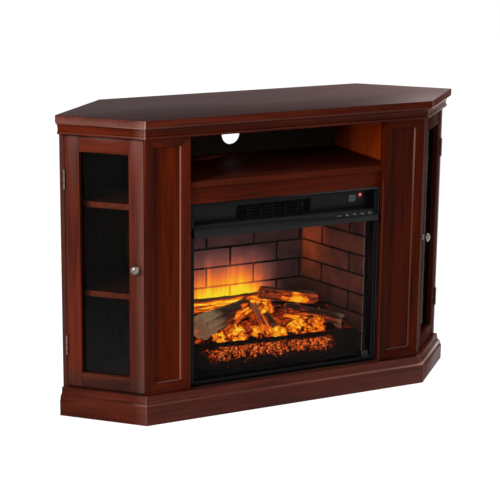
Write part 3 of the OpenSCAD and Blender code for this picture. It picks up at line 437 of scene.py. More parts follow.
def wood(name, grain, red, dark, rough, shine, worn=None, over=None, joints=None, lacquer=None):
    """Stained cherry, with painted highlights along some edges, two other tones laid in some places
    as painted light and shade, dark lines where stain gathers in joints and as painted shade, and
    thick top coat in some places, each where its argument says."""
    f = Finish(name)
    run, wide, deep, member = grain(f)
    wave = f.noise(f.vector(run + member * 0.37, wide + member * 0.21, deep), 9.0, 2.0)
    drift = f.noise(f.vector(run * 1.3 + member, wide * 7, deep * 7), 1.6, 2.0, 0.5, 0.6)
    flame = f.noise(f.vector(run * 1.1 + member * 3.1, wide * 22, deep * 22), 2.4, 4.0, 0.55, 1.2)
    fibre = f.noise(f.vector(run * 9, wide * 330, deep * 330), 1.0, 3.0, 0.6)
    pores = f.noise(f.vector(run * 42, wide * 950, deep * 950), 1.0, 1.0).ramp(0.60, 0.74)
    tone = drift * 0.35 + flame * 0.45 + fibre * 0.20
    colour = f.shades(tone, (0.35, dark), (0.50, red), (0.65, times(red, 1.55)))
    # other tones laid as painted light and shade
    if over:
        where, light, shade = over
        colour = f.mix(where(f), colour, f.mix(tone.ramp(0.35, 0.65), shade, light))
    colour = f.mix(pores * 0.45, colour, times(dark, 0.6))
    # painted highlights along edges
    if worn:
        colour = f.mix(worn(f) * (0.6 + fibre * 0.6), colour, HIGHLIGHT_TONE)
    # dark lines in joints, and painted shade
    if joints:
        colour = f.mix(joints(f), colour, JOINT_AND_SHADE_DARK)
    coat = {"Coat_Weight": lacquer(f), "Coat_Roughness": 0.12} if lacquer else {}
    return f.surface(colour, rough + (fibre - 0.5) * 0.10 + pores * 0.10,
                     f.bump(fibre * 0.5 - pores * 0.5 + wave * 0.6, 0.00012, 0.6),
                     Specular_IOR_Level=shine, **coat)


# ---- metal, glass and plastic --------------------------------------------

def frame_rim_highlight(f):
    """Painted highlight on the upper and right rims of the hearth frame's face."""
    rim = 0.0045
    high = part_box("insert_frame")[1]
    right = (f.x - high[0] + rim).ramp(0.0, 0.0015)
    upper = (f.z - high[2] + rim).ramp(0.0, 0.0015)
    return right.most(upper) * f.x.ramp(-0.10, 0.20)


def glow_spot(f, centre, reach, flat=(1, 1, 1)):
    """1 at the centre, 0 beyond the reach."""
    place = f.node("ShaderNodeMapping", {"vector_type": "POINT"}, f.place,
                   tuple(-c * s for c, s in zip(centre, flat)), (0, 0, 0), flat)
    far = f.node("ShaderNodeVectorMath", {"operation": "LENGTH"}, place, output="Value")
    return far.fall(0.0, reach)


def black_coat(name, colour, rough, shine, halo=None, worn=None):
    """Powder coat: fine orange peel, with a painted highlight where one is given. halo is a red
    lamp's place and reach, where its glow is painted on as light.
    """
    f = Finish(name)
    peel = f.noise(f.place, 900.0, 2.0, 0.6)
    cloud = f.noise(f.place, 14.0, 3.0)
    coat = f.mix(cloud, colour, times(colour, 1.7))
    # painted highlight along a rim
    if worn:
        coat = f.mix(worn(f), coat, (0.050, 0.053, 0.060))
    spill = f.mix(glow_spot(f, *halo) ** 1.5, (0, 0, 0), (0.30, 0.004, 0.006)) if halo else None
    return f.surface(coat, rough + (cloud - 0.5) * 0.12, f.bump(peel, 0.00012, 0.5), spill,
                     Specular_IOR_Level=shine)


def sheet_zinc(name):
    """Zinc coated sheet with its spangle."""
    f = Finish(name)
    spangle = f.pieces(f.place, 85.0)
    return f.surface(f.mix(spangle, (0.30, 0.31, 0.32), (0.46, 0.47, 0.48)), 0.30 + spangle * 0.22,
                     f.bump(f.noise(f.place, 60.0, 3.0), 0.0002, 0.3), Metallic=1.0)


def pewter(name, bright, dull):
    f = Finish(name)
    brushed = f.noise(f.stretched(500, 500, 60), 1.0, 3.0, 0.6)
    stain = f.noise(f.place, 120.0, 4.0, 0.6).ramp(0.42, 0.68)
    return f.surface(f.mix(stain, bright, dull), 0.22 + stain * 0.16 + brushed * 0.06,
                     f.bump(brushed, 0.00005, 0.4), Metallic=1.0)


def back_board(name):
    """Thin fibreboard, bare behind; the face that the bay shows is stained, and darkened further as
    painted shade in the bay.
    """
    f = Finish(name)
    chips = f.noise(f.place, 420.0, 4.0, 0.7)
    cloud = f.noise(f.place, 6.0, 3.0)
    bare = f.shades(chips * 0.6 + cloud * 0.4, (0.3, (0.115, 0.064, 0.036)),
                    (0.7, (0.225, 0.135, 0.08)))
    face = f.mix(cloud, (0.038, 0.026, 0.018), (0.068, 0.047, 0.032))
    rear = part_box("back_panel")[1][1]
    return f.surface(f.mix(f.y > rear - 0.002, face, bare), 0.72 + chips * 0.15,
                     f.bump(chips, 0.0002, 0.5), Specular_IOR_Level=0.15)


def clear_glass(name, tint, shine, haze):
    """Clear pane: what is behind it shows through, with a sheen by angle. haze is dust low
    on the pane."""
    f = Finish(name)
    smear = f.noise(f.stretched(9, 9, 3), 1.0, 4.0, 0.6)
    through = f.node("ShaderNodeBsdfTransparent", {}, (*tint, 1))
    edge = f.node("ShaderNodeFresnel", {}, 1.5)
    gloss = f.node("ShaderNodeBsdfPrincipled", {}, Base_Color=(0.01, 0.012, 0.012, 1),
                   Roughness=0.03 + smear * 0.05, Specular_IOR_Level=0.5)
    amount = (edge * shine + f.z.fall(0.12, 0.42) * haze + smear * 0.01).least(0.9)
    return f.end(f.node("ShaderNodeMixShader", {}, amount, through, gloss))


def plastic(name, colour, rough):
    f = Finish(name)
    grain = f.noise(f.place, 1400.0, 2.0, 0.6)
    cloud = f.noise(f.place, 40.0, 2.0)
    return f.surface(f.mix(cloud, colour, times(colour, 1.25)), rough + (grain - 0.5) * 0.08,
                     f.bump(grain, 0.00004, 0.5))


def key_top(name):
    """Black key with a plain printed mark, one shape for each key along the lip."""
    f = Finish(name)
    number = round((f.x - KEY_X) / KEY_PITCH)
    a = f.x - KEY_X - number * KEY_PITCH
    b = (f.z - KEY_Z) * ROOT2
    across, above, upper = abs(a), abs(b), b > 0.0
    thin, reach, radius = 0.0011, 0.0052, 0.0043
    bar = (across < reach) * (above < thin)
    post = (above < reach) * (across < thin)
    ring = abs((a * a + b * b) ** 0.5 - radius) < thin * 0.75
    open_ring = ring * (1 - (across < thin) * upper)
    wedge = (above < (reach - across) * 0.9) * (across < reach) * (b > -0.0008)
    pair = (abs(above - 0.0016) < thin * 0.8) * (across < reach)
    marks = (bar, (bar + post).least(1.0), wedge, pair, (open_ring + post * upper).least(1.0))
    printed = sum(mark * (abs(number - place) < 0.5) for place, mark in enumerate(marks))
    grain = f.noise(f.place, 1400.0, 2.0, 0.6)
    return f.surface(f.mix(printed * (0.4 + grain), (0.012, 0.012, 0.012), (0.22, 0.22, 0.175)),
                     0.35 + (grain - 0.5) * 0.08, f.bump(grain, 0.00004, 0.5),
                     Specular_IOR_Level=0.25)


def indicator(name, lens, lamp, reach):
    """Dark display pane with a small red lamp beside it, whose soft halo on the pane is painted
    light.
    """
    f = Finish(name)
    cloud = f.noise(f.place, 40.0, 2.0)
    hot = glow_spot(f, lamp, reach)
    middle = (lamp[0] - 0.0005, lamp[1], lamp[2] + 0.0005)
    core = glow_spot(f, middle, reach * 0.45) ** 0.6
    pane = f.mix(hot, f.mix(cloud, lens, times(lens, 1.3)), (0.5, 0.05, 0.04))
    halo = f.mix(hot, (0, 0, 0), (0.62, 0.012, 0.016))
    return f.surface(pane, 0.16 + cloud * 0.05, glow=f.mix(core, halo, (1.0, 0.80, 0.78)))


def glowing(name, colour, edge):
    """Diffuser, brighter where its own grain lets light out."""
    f = Finish(name)
    grain = f.noise(f.place, 260.0, 2.0)
    lit = f.mix(grain.ramp(0.3, 0.7), colour, edge)
    return f.surface(lit, 0.2 + grain * 0.1, glow=lit)


def circuit(name):
    f = Finish(name)
    tracks = f.cracks(f.place, 120.0)
    board = f.mix(tracks.ramp(0.0, 0.05), (0.03, 0.13, 0.06), (0.015, 0.075, 0.035))
    chips = (f.z - CHIPS_Z).ramp(0.0, 0.0006)
    return f.surface(f.mix(chips, board, (0.035, 0.035, 0.04)), 0.45 + tracks * 0.1,
                     f.bump(tracks.ramp(0.0, 0.04), 0.0001, 0.5))


# ---- brick, coal and bark, lit by the fire -------------------------------

# soot and painted shade near the bed
SOOT_AND_SHADE = (0.008, 0.005, 0.004)
MORTAR = (0.010, 0.006, 0.005)


def flame_light(f, mortar):
    """Painted light: streaked flame light glowing on the back wall, broad and yellow at its foot
    and red above.
    """
    middle, top, height = -0.035, 0.380, 0.150
    streak = f.noise(f.vector(f.x * 60, 0.0, f.z * 5), 1.0, 3.0, 0.6) - 0.5
    sway = f.noise(f.vector(f.x * 14, 3.0, f.z * 5), 1.0, 2.0) - 0.5
    wide = (abs(f.x - middle) + sway * 0.05).fall(0.055, 0.200)
    rise = (top - f.z) / height
    heat = rise.least(1.0) * wide
    heat = heat + (streak * 0.44 + sway * 0.40) * wide * rise.ramp(0.0, 0.4)
    return f.shades((heat - mortar * 0.24).most(0.0), (0.05, (0, 0, 0)),
                    (0.26, (0.14, 0.038, 0.030)), (0.44, (0.42, 0.080, 0.030)),
                    (0.60, (0.90, 0.17, 0.020)), (0.76, (1.0, 0.36, 0.006)),
                    (0.93, (1.0, 0.74, 0.014)))


def brick(name, side):
    """Moulded brick with dark joints, darker near the bed with soot and painted shade. A side wall
    is redder than the back, and has its own bond, a painted highlight on its front arris with
    painted shade on the rest of its front end, and a little of the fire's light painted on as glow."""
    f = Finish(name)
    row = math.floor((f.z - COURSE_Z) / COURSE)
    if side:
        lean = math.atan2(BRICK_FRONT[0] - BRICK_REAR_X, BRICK_BACK_Y - BRICK_FRONT[1])
        beside, inward = abs(f.x) - BRICK_FRONT[0], f.y - BRICK_FRONT[1]
        along, joint, length = inward / math.cos(lean), SIDE_JOINT, SIDE_BRICK
        depth = (beside + inward * math.tan(lean)) * math.cos(lean)
        wall = right_half(f)
        warm, cool = (0.235, 0.062, 0.042), (0.085, 0.032, 0.026)
    else:
        along, joint, length = f.x, BACK_JOINT, BACK_BRICK
        depth = f.y - BRICK_BACK_Y
        wall = 3.0
        warm, cool = (0.150, 0.064, 0.061), (0.066, 0.030, 0.030)
    turn = math.floor((along - joint - row % 2.0 * (length / 2)) / length)
    mortar = depth.ramp(0.0002, 0.0012)
    number = f.node("ShaderNodeTexWhiteNoise", {}, f.vector(row, turn, wall))
    grit = f.noise(f.place, 340.0, 4.0, 0.7)
    cloud = f.noise(f.place, 22.0, 4.0, 0.6)
    face = f.shades(number * 0.45 + cloud.ramp(0.30, 0.70) * 0.55, (0.15, cool), (0.80, warm))
    face = f.mix(grit.ramp(0.55, 0.75) * 0.4, face, times(cool, 0.4))
    colour = f.mix(mortar, face, MORTAR)
    # painted shade, with soot: darker near the bed
    colour = f.mix(f.z.fall(0.150, 0.270) * 0.75, colour, SOOT_AND_SHADE)
    if side:
        # front end of a side wall: a painted highlight on its arris, painted shade on the rest
        edge = f.mix(beside.ramp(0.0012, 0.0022), (0.48, 0.27, 0.22), (0.006, 0.005, 0.005))
        colour = f.mix(inward.fall(0.0005, 0.0020), colour, edge)
        # painted light: the fire's glow on the side wall
        lit = glow_spot(f, (0.222, 0.118, 0.380), 0.12, (1, 1, 0.8)) * (0.3 + cloud)
        glow = f.mix(lit * (1 - mortar * 0.9), (0, 0, 0), (0.19, 0.026, 0.002))
    else:
        glow = flame_light(f, mortar)
    return f.surface(colour, 0.85, f.bump(1 - mortar + grit * 0.25 + cloud * 0.3, 0.0012, 0.7),
                     glow, Specular_IOR_Level=0.12)


def heat_of(f, spots, base, ragged):
    """The hottest of the spots at each place; ragged pushes their edges about."""
    heat = base
    for centre, reach, power in spots:
        heat = ((glow_spot(f, centre, reach) * 2.3 + ragged).least(1.0) * power).most(heat)
    return heat


def fire_colour(f, heat):
    return f.shades(heat, (0.12, (0, 0, 0)), (0.23, (0.20, 0.013, 0.002)),
                    (0.37, (0.58, 0.064, 0.003)), (0.55, (0.98, 0.175, 0.004)),
                    (0.76, (1.0, 0.43, 0.006)), (0.96, (1.0, 0.80, 0.055)))


def coal(name, spots):
    """Moulded resin, black where cold and lit from below where hot."""
    f = Finish(name)
    crust = f.noise(f.place, 95.0, 6.0, 0.72, 1.4)
    flakes = f.noise(f.place, 96.0, 3.0, 0.60, 2.2).ramp(0.38, 0.62)
    veins = f.noise(f.place, 56.0, 3.0, 0.55, 2.6)
    threads = 1 - (abs(veins - 0.5) * 16).least(1.0)
    patches = f.noise(f.place, 46.0, 3.0, 0.5, 1.2).ramp(0.36, 0.62)
    heaps = f.noise(f.place, 58.0, 3.0, 0.55, 0.9).ramp(0.36, 0.62)
    slow = f.noise(f.place, 11.0, 2.0).ramp(0.38, 0.60)
    bent = f.moved(f.place, (heaps - 0.5) * 0.014, (veins - 0.5) * 0.02, (patches - 0.5) * 0.014)
    cracks = f.cracks(bent, 44.0).ramp(0.0, 0.16)
    chunks = f.pieces(bent, 44.0)
    inward, beside = f.y - BED_Y, abs(f.x - FIRE_X)
    tilted = f.z + f.x * math.tan(BED_TILT) - BAR_Z

    # the ragged strip of embers under the bar
    foot = (tilted + (veins - 0.5) * 0.11 + (patches - 0.5) * 0.016 + 0.047).ramp(0.0, 0.012)
    face = foot * (tilted + (crust - 0.5) * 0.03 + 0.015).fall(0.0, 0.004)
    ends = (beside + (patches - 0.5) * 0.05).fall(0.175, 0.220)
    front = inward.fall(0.015, 0.020) * face * ends
    strip = front * (flakes ** 3 * 0.44 + threads * (0.08 + flakes * 0.76) + patches * 0.06)
    strip = strip * (0.78 + slow * 0.32 + patches * 0.36)
    embers = f.shades(strip.least(1.0), (0.12, (0, 0, 0)), (0.28, (0.28, 0.013, 0.0)),
                      (0.50, (0.92, 0.066, 0.0)), (0.86, (1.0, 0.34, 0.05)))

    # the heaps behind it
    behind = inward.ramp(0.018, 0.028)
    row = behind * inward.fall(0.110, 0.190) * beside.fall(0.155, 0.195)
    heat = heat_of(f, spots, row * 0.34, (patches - 0.6) * 0.7 + (flakes - 0.5) * 0.2)
    heat = behind * heat * (0.45 + heaps * 0.48 + chunks * 0.26) * (0.52 + cracks * 0.48)
    glow = f.mix(1.0, embers, fire_colour(f, heat.least(1.0)), "ADD")

    ash = f.shades(crust, (0.40, (0.005, 0.0035, 0.0030)), (0.60, (0.018, 0.011, 0.008)),
                   (0.78, (0.060, 0.044, 0.034)))
    return f.surface(ash, 0.9, f.bump(crust + flakes * 0.3 + cracks * 0.3, 0.0035, 0.9), glow,
                     Specular_IOR_Level=0.08)


def bark(name, start, end, thick, pale, dry_share, base, spots):
    """Burnt bark: pale dry wood at one end, charred elsewhere, lit from below where flames
    lick it. dry_share gives the shares of the length where dry wood starts to go and has
    gone; base is the heat all over it."""
    f = Finish(name)
    line = (end - start).normalized()
    turn = line.to_track_quat("Z", "Y").inverted().to_euler()
    local = f.node("ShaderNodeMapping", {}, f.place, Rotation=tuple(turn))
    grain = f.node("ShaderNodeVectorMath", {"operation": "MULTIPLY"}, local, (1, 1, 0.13))
    along = f.node("ShaderNodeVectorMath", {"operation": "DOT_PRODUCT"}, f.place, tuple(line),
                   output="Value")
    share = (along - start.dot(line)) / (end - start).length
    ridges = f.noise(grain, 150.0, 6.0, 0.68, 1.0)
    patches = f.noise(grain, 40.0, 4.0, 0.6, 0.8)
    bent = f.moved(grain, (ridges - 0.5) * 0.02, (patches - 0.5) * 0.02, 0.0)
    cracks = f.cracks(bent, 70.0)

    ragged = share + (patches - 0.5) * 0.5
    going, gone = dry_share
    dry = ragged.fall(going, gone) if gone > going else ragged.ramp(gone, going)
    dry_wood = f.mix(ridges.ramp(0.3, 0.7), times(pale, 0.55), times(pale, 1.25))
    char = (patches + (ridges - 0.5) * 0.9).ramp(0.44, 0.64)
    burnt = f.mix(char, (0.016, 0.009, 0.006), (0.085, 0.042, 0.022))
    colour = f.mix(dry * 0.96, burnt, dry_wood)
    colour = f.mix(cracks.fall(0.0, 0.06) * (0.7 - dry * 0.5), colour, (0.012, 0.007, 0.005))

    stripes = patches.ramp(0.41, 0.60) * 0.52 + ridges.ramp(0.40, 0.62) * 0.48
    above = (f.z - start.z - share * (end.z - start.z)) / thick
    heat = heat_of(f, spots, base, (stripes - 0.6) * 0.9)
    heat = heat * (1 - (above + (patches - 0.5) * 0.8).ramp(0.54, 0.92) * 0.88)
    heat = heat * (0.14 + stripes * 1.15) * (0.80 + cracks.ramp(0.0, 0.08) * 0.2)
    heat = heat.least(1.0)
    colour = f.mix((heat * 1.8).least(1.0), colour, (0.045, 0.008, 0.002))
    # painted light: the bark glows with a share of its own colour, so the logs show lit
    lit = f.mix(1.0, colour, (0.62, 0.52, 0.42), "MULTIPLY")
    height = ridges * 0.7 + patches * 0.6 + cracks.ramp(0.0, 0.1) * 0.4
    return f.surface(colour, 0.9, f.bump(height, 0.0035, 0.9),
                     f.mix(1.0, lit, fire_colour(f, heat), "ADD"), Specular_IOR_Level=0.08)


# ---- modelling helpers ---------------------------------------------------

def only(piece):
    bpy.ops.object.select_all(action="DESELECT")
    piece.select_set(True)
    bpy.context.view_layer.objects.active = piece


def apply(piece, kind, **settings):
    only(piece)
    made = piece.modifiers.new(kind.title(), kind)
    for key, value in settings.items():
        setattr(made, key, value)
    bpy.ops.object.modifier_apply(modifier=made.name)


def edit(piece, *steps):
    only(piece)
    bpy.ops.object.mode_set(mode="EDIT")
    bpy.ops.mesh.select_all(action="SELECT")
    for step, settings in steps:
        getattr(bpy.ops.mesh, step)(**settings)
    bpy.ops.object.mode_set(mode="OBJECT")


def pick(piece, kind, wanted):
    """Selects in edit mode the edges or faces that are wanted."""
    only(piece)
    bpy.ops.object.mode_set(mode="EDIT")
    bpy.ops.mesh.select_mode(type=kind)
    bpy.ops.mesh.select_all(action="DESELECT")
    bpy.ops.object.mode_set(mode="OBJECT")
    mesh = piece.data
    for part in {"EDGE": mesh.edges, "FACE": mesh.polygons}[kind]:
        part.select = wanted(part)
    bpy.ops.object.mode_set(mode="EDIT")


def leave_edit():
    bpy.ops.mesh.select_mode(type="VERT")
    bpy.ops.object.mode_set(mode="OBJECT")


def settle(piece):
    only(piece)
    bpy.ops.object.transform_apply(location=True, rotation=True, scale=True)


def smooth(piece, angle):
    only(piece)
    bpy.ops.object.shade_smooth_by_angle(angle=math.radians(angle))


def linked(name, mesh):
    made = bpy.data.objects.new(name, mesh)
    bpy.context.scene.collection.objects.link(made)
    return made


def clouds(name, size, depth, kind="SOFT_NOISE"):
    made = bpy.data.textures.new(name, "CLOUDS")
    made.noise_scale, made.noise_depth, made.noise_type = size, depth, kind
    return made


def roughen(piece, texture, strength, level, **settings):
    apply(piece, "DISPLACE", texture=texture, strength=strength, mid_level=level, **settings)


def dress(piece, body, material, slot, node):
    """Gives a piece its finish and body, and puts it in a node's place."""
    piece.data.materials.clear()
    piece.data.materials.append(material)
    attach(piece, body)
    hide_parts(node)


def eased(node, width):
    """Merged copy of a node, with its sharp edges eased."""
    source = nodes[node]
    piece = linked(node + "_eased", source.data.copy())
    piece.data.transform(source.matrix_world)
    edit(piece, ("remove_doubles", {"threshold": 1e-5}),
         ("dissolve_limited", {"angle_limit": math.radians(0.4)}))
    if width:
        apply(piece, "BEVEL", width=width, segments=2, limit_method="ANGLE",
              angle_limit=math.radians(30), miter_outer="MITER_ARC")
    smooth(piece, 35)
    return piece


# ---- finishes ------------------------------------------------------------

FRONT_RED, FRONT_DARK = (0.090, 0.0100, 0.0020), (0.034, 0.0036, 0.0008)
WOODS = [
    # name, grain, its red and dark tones, roughness, shine, what else it has
    ("cherry_front", level_grain, FRONT_RED, FRONT_DARK, 0.32, 0.05, {}),
    ("cherry_cornice", level_grain, (0.062, 0.0070, 0.0015), (0.026, 0.003, 0.001), 0.32, 0.05,
     {"worn": cornice_front_highlight}),
    ("cherry_chamfer", side_grain, (0.112, 0.0140, 0.0050), (0.040, 0.0050, 0.0024), 0.30, 0.02,
     {"worn": cornice_side_highlight, "lacquer": cornice_lacquer}),
    # the slab's top face takes greyed tones that stand in for its sheen: a painted reflection
    ("cherry_top", top_grain, (0.108, 0.0185, 0.0095), (0.050, 0.008, 0.0040), 0.42, 0.004,
     {"worn": slab_highlight, "over": (slab_face, (0.066, 0.032, 0.030), (0.040, 0.019, 0.019))}),
    ("cherry_bay", level_grain, (0.094, 0.0160, 0.0080), (0.044, 0.0080, 0.0050), 0.45, 0.002, {}),
    ("cherry_base", level_grain, (0.105, 0.020, 0.012), (0.046, 0.009, 0.006), 0.30, 0.10,
     {"worn": base_front_highlight}),
    ("cherry_plinth", side_grain, (0.108, 0.0200, 0.0105), (0.042, 0.0085, 0.0055), 0.30, 0.014,
     {"worn": base_side_highlight, "lacquer": base_lacquer}),
    ("cherry_door", door_grain, (0.112, 0.0150, 0.0050), (0.040, 0.0050, 0.0020), 0.30, 0.08,
     {"worn": front_corner_highlight, "joints": door_joint_and_shade_lines,
      "over": (lower_rail_shade, (0.090, 0.0230, 0.0120), (0.036, 0.0090, 0.0050))}),
    # a darker copy of the door's finish: painted shade on the right door
    ("cherry_door_right", door_grain, (0.060, 0.0110, 0.0060), (0.026, 0.0048, 0.0026), 0.45, 0.002,
     {"worn": front_corner_highlight}),
    ("cherry_pilaster", pilaster_grain, FRONT_RED, FRONT_DARK, 0.32, 0.05, {"worn": panel_bead_highlight}),
    # a darker copy of the pilaster's finish: painted shade on the right pilaster
    ("cherry_pilaster_right", pilaster_grain, (0.066, 0.0078, 0.0015), (0.026, 0.0030, 0.0007),
     0.32, 0.028, {"worn": panel_bead_highlight}),
    # the right half's panel takes darker tones as painted shade
    ("cherry_panel", panel_grain, (0.110, 0.0120, 0.0008), FRONT_DARK, 0.32, 0.04,
     {"over": (right_half, (0.086, 0.0090, 0.0018), (0.032, 0.0036, 0.0010))}),
    ("cherry_rear_side", rear_side_grain, (0.062, 0.015, 0.010), (0.026, 0.006, 0.004), 0.30, 0.08,
     {}),
    # front edge brightened as painted light, and darker behind it as painted shade
    ("cherry_shelf", level_grain, (0.40, 0.062, 0.028), (0.19, 0.026, 0.012), 0.35, 0.03,
     {"over": (shelf_inside_shade, (0.085, 0.020, 0.012), (0.04, 0.009, 0.006))}),
    # brighter and more orange than the other cherry: painted light on the dividers that wall the
    # bay
    ("bay_side", upright_grain, (0.30, 0.040, 0.005), (0.14, 0.018, 0.002), 0.42, 0.05, {}),
    ("carcass_level", level_grain, (0.070, 0.024, 0.015), (0.034, 0.012, 0.009), 0.42, 0.05, {}),
]
DOOR_TINT = (0.80, 0.84, 0.83)
OTHERS = [
    # maker, name, what the maker takes
    (black_coat, "satin_black", (0.0060, 0.0062, 0.0072), 0.34, 0.16),
    (black_coat, "dark_steel", (0.022, 0.021, 0.021), 0.50, 0.16),
    (black_coat, "vent_black", (0.014, 0.014, 0.014), 0.60, 0.04),
    (black_coat, "hood_black", (0.0036, 0.0037, 0.0047), 0.34, 0.12, (RED_LAMP, 0.012)),
    (black_coat, "frame_black", (0.0022, 0.0022, 0.0030), 0.30, 0.08, None, frame_rim_highlight),
    (black_coat, "fin_black", (0.010, 0.010, 0.010), 0.55, 0.05),
    (sheet_zinc, "casing_zinc"),
    (pewter, "knob_pewter", (0.25, 0.215, 0.18), (0.100, 0.083, 0.068)),
    (pewter, "hinge_pewter", (0.20, 0.165, 0.135), (0.085, 0.070, 0.058)),
    (back_board, "stained_fibreboard"),
    (clear_glass, "left_door_pane", DOOR_TINT, 1.0, 0.08),
    (clear_glass, "right_door_pane", DOOR_TINT, 0.3, 0.04),
    (clear_glass, "hearth_pane", (0.97, 0.97, 0.97), 0.7, 0.0),
    (plastic, "black_plastic", (0.014, 0.014, 0.015), 0.42),
    (key_top, "key_plastic"),
    (indicator, "display_pane", (0.034, 0.034, 0.046), RED_LAMP, 0.0075),
    (glowing, "lamp_strip", (1.0, 0.45, 0.10), (1.0, 0.7, 0.3)),
    (circuit, "circuit_board"),
    (brick, "brick_back_wall", False),
    (brick, "brick_side_walls", True),
]
finishes = {name: wood(name, *tones, **extra) for name, *tones, extra in WOODS}
finishes.update({name: maker(name, *looks) for maker, name, *looks in OTHERS})

EASED = [
    # node, finish, slot, width of the eased edge
    ("top_slab", "cherry_top", "cherry_wood", 0.0009),
    ("cornice_front", "cherry_cornice", "cherry_wood", 0.0005),
    ("cornice_sides", "cherry_chamfer", "cherry_wood", 0.0005),
    ("base_front", "cherry_base", "cherry_wood", 0.0009),
    ("base_sides", "cherry_plinth", "cherry_wood", 0.0009),
    ("left_pilaster", "cherry_pilaster", "cherry_wood", 0.0008),
    ("right_pilaster", "cherry_pilaster_right", "cherry_wood", 0.0008),
    ("left_door_frame", "cherry_door", "cherry_wood", 0.0010),
    ("right_door_frame", "cherry_door_right", "cherry_wood", 0.0010),
    ("media_shelf", "cherry_bay", "cherry_wood", 0.0012),
    ("apron_rail", "cherry_front", "cherry_wood", 0.0012),
    ("cabinet_shelves", "cherry_shelf", "cherry_wood", 0.0010),
    ("shelf_pins", "casing_zinc", "zinc_sheet", 0.0004),
    ("door_catches", "black_plastic", "black_plastic", 0.0006),
    ("left_door_knob", "knob_pewter", "pewter", 0.0003),
    ("right_door_knob", "knob_pewter", "pewter", 0.0003),
    ("insert_frame", "frame_black", "black_metal", 0.0007),
    ("control_lip", "satin_black", "black_metal", 0.0007),
    ("brick_back", "brick_back_wall", "brick", 0.0008),
    ("brick_sides", "brick_side_walls", "brick", 0.0008),
    ("drive_motors", "black_plastic", "black_plastic", 0.0006),
    ("power_inlet", "black_plastic", "black_plastic", 0.0004),
    *((f"key_{number}", "key_plastic", "key_plastic", 0.0006)
      for number in ("one", "two", "three", "four", "five")),
]
PLAIN = {
    # finish: the nodes that show it on their own mesh
    "cherry_panel": ["pilaster_panels"],
    "cherry_chamfer": ["left_door_retainers"],
    "cherry_door_right": ["right_door_retainers"],
    "cherry_rear_side": ["left_side_panel", "right_side_panel"],
    "bay_side": ["left_divider", "right_divider"],
    "carcass_level": ["carcass_rails", "bottom_panel"],
    "stained_fibreboard": ["back_panel"],
    "hinge_pewter": ["case_hinge_leaves", "hinge_pins", "left_door_hardware",
                     "right_door_hardware"],
    "left_door_pane": ["left_door_glass"],
    "right_door_pane": ["right_door_glass"],
    "hearth_pane": ["firebox_glass"],
    "hood_black": ["hood_panel"],
    "vent_black": ["vent_louvres"],
    "dark_steel": ["glass_clip"],
    "fin_black": ["heater_bar"],
    "casing_zinc": ["housing_sides", "housing_plates", "housing_back", "rotor_tray",
                    "flame_rotor", "blower_housing"],
    "black_plastic": ["blower_wheel"],
    "lamp_strip": ["lamp_strip"],
    "circuit_board": ["control_board"],
    "display_pane": ["display_windows"],
}
bodies = frame["record"]["behaviour"]["bodies"]
body_of = {node: body for body, held in bodies.items() for node in held}

for node, finish, slot, width in EASED:
    dress(eased(node, width), body_of[node], finishes[finish], slot, node)
for finish, held in PLAIN.items():
    for node in held:
        shown = nodes[node].data.materials
        shown.clear()
        shown.append(finishes[finish])

# ---- logs ----------------------------------------------------------------

# Glowing places on a log: centre, reach and power
LEFT_HOT = [((-0.086, -0.034, 0.215), 0.036, 0.62), ((-0.060, -0.020, 0.236), 0.026, 0.75),
            ((-0.130, -0.052, 0.205), 0.022, 0.6)]
STICK_HOT = [((-0.030, -0.070, 0.178), 0.034, 0.75)]
RIGHT_HOT = [((0.108, -0.042, 0.196), 0.040, 0.76), ((0.142, -0.056, 0.186), 0.024, 0.48),
             ((0.088, -0.015, 0.204), 0.034, 0.60)]
STUB_HOT = [((0.012, -0.076, 0.170), 0.036, 1.0), ((0.030, -0.058, 0.176), 0.030, 0.9),
            ((0.022, -0.030, 0.192), 0.034, 0.8)]
REAR_HOT = [((-0.168, 0.038, 0.222), 0.032, 0.90), ((-0.138, 0.038, 0.222), 0.036, 1.0),
            ((-0.104, 0.034, 0.220), 0.032, 0.90), ((-0.190, 0.040, 0.232), 0.034, 0.70),
            ((-0.070, 0.034, 0.222), 0.028, 0.70)]
UPPER_HOT = [((0.090, 0.006, 0.232), 0.034, 0.66), ((0.126, 0.016, 0.226), 0.040, 0.92),
             ((0.156, 0.024, 0.220), 0.024, 0.62)]
LOGS = [
    # name, ends as in the part's source, radii there,
    # tone of dry wood, shares where it goes and is gone, heat all over, glowing places
    ("left_log", (-0.224, 0.120, 0.212), (-0.031, 0.203, 0.232), 0.037, 0.024,
     (0.30, 0.215, 0.135), (0.16, 0.42), 0.20, LEFT_HOT),
    ("leaning_stick", (-0.026, 0.182, 0.242), (-0.018, 0.106, 0.170), 0.009, 0.010,
     (0.13, 0.092, 0.058), (0.15, 0.75), 0.40, STICK_HOT),
    ("right_log", (0.072, 0.190, 0.214), (0.231, 0.124, 0.176), 0.023, 0.021,
     (0.19, 0.150, 0.110), (1.02, 0.80), 0.25, RIGHT_HOT),
    ("middle_stub", (0.010, 0.121, 0.174), (0.012, 0.178, 0.200), 0.019, 0.017,
     (0.14, 0.050, 0.025), (0.1, 0.3), 0.62, STUB_HOT),
    ("rear_log", (-0.214, 0.262, 0.229), (0.022, 0.234, 0.238), 0.025, 0.022,
     (0.12, 0.042, 0.018), (0.05, 0.30), 0.90, REAR_HOT),
    ("upper_log", (0.008, 0.205, 0.268), (0.203, 0.242, 0.220), 0.019, 0.019,
     (0.070, 0.040, 0.028), (1.05, 0.85), 0.26, UPPER_HOT),
]


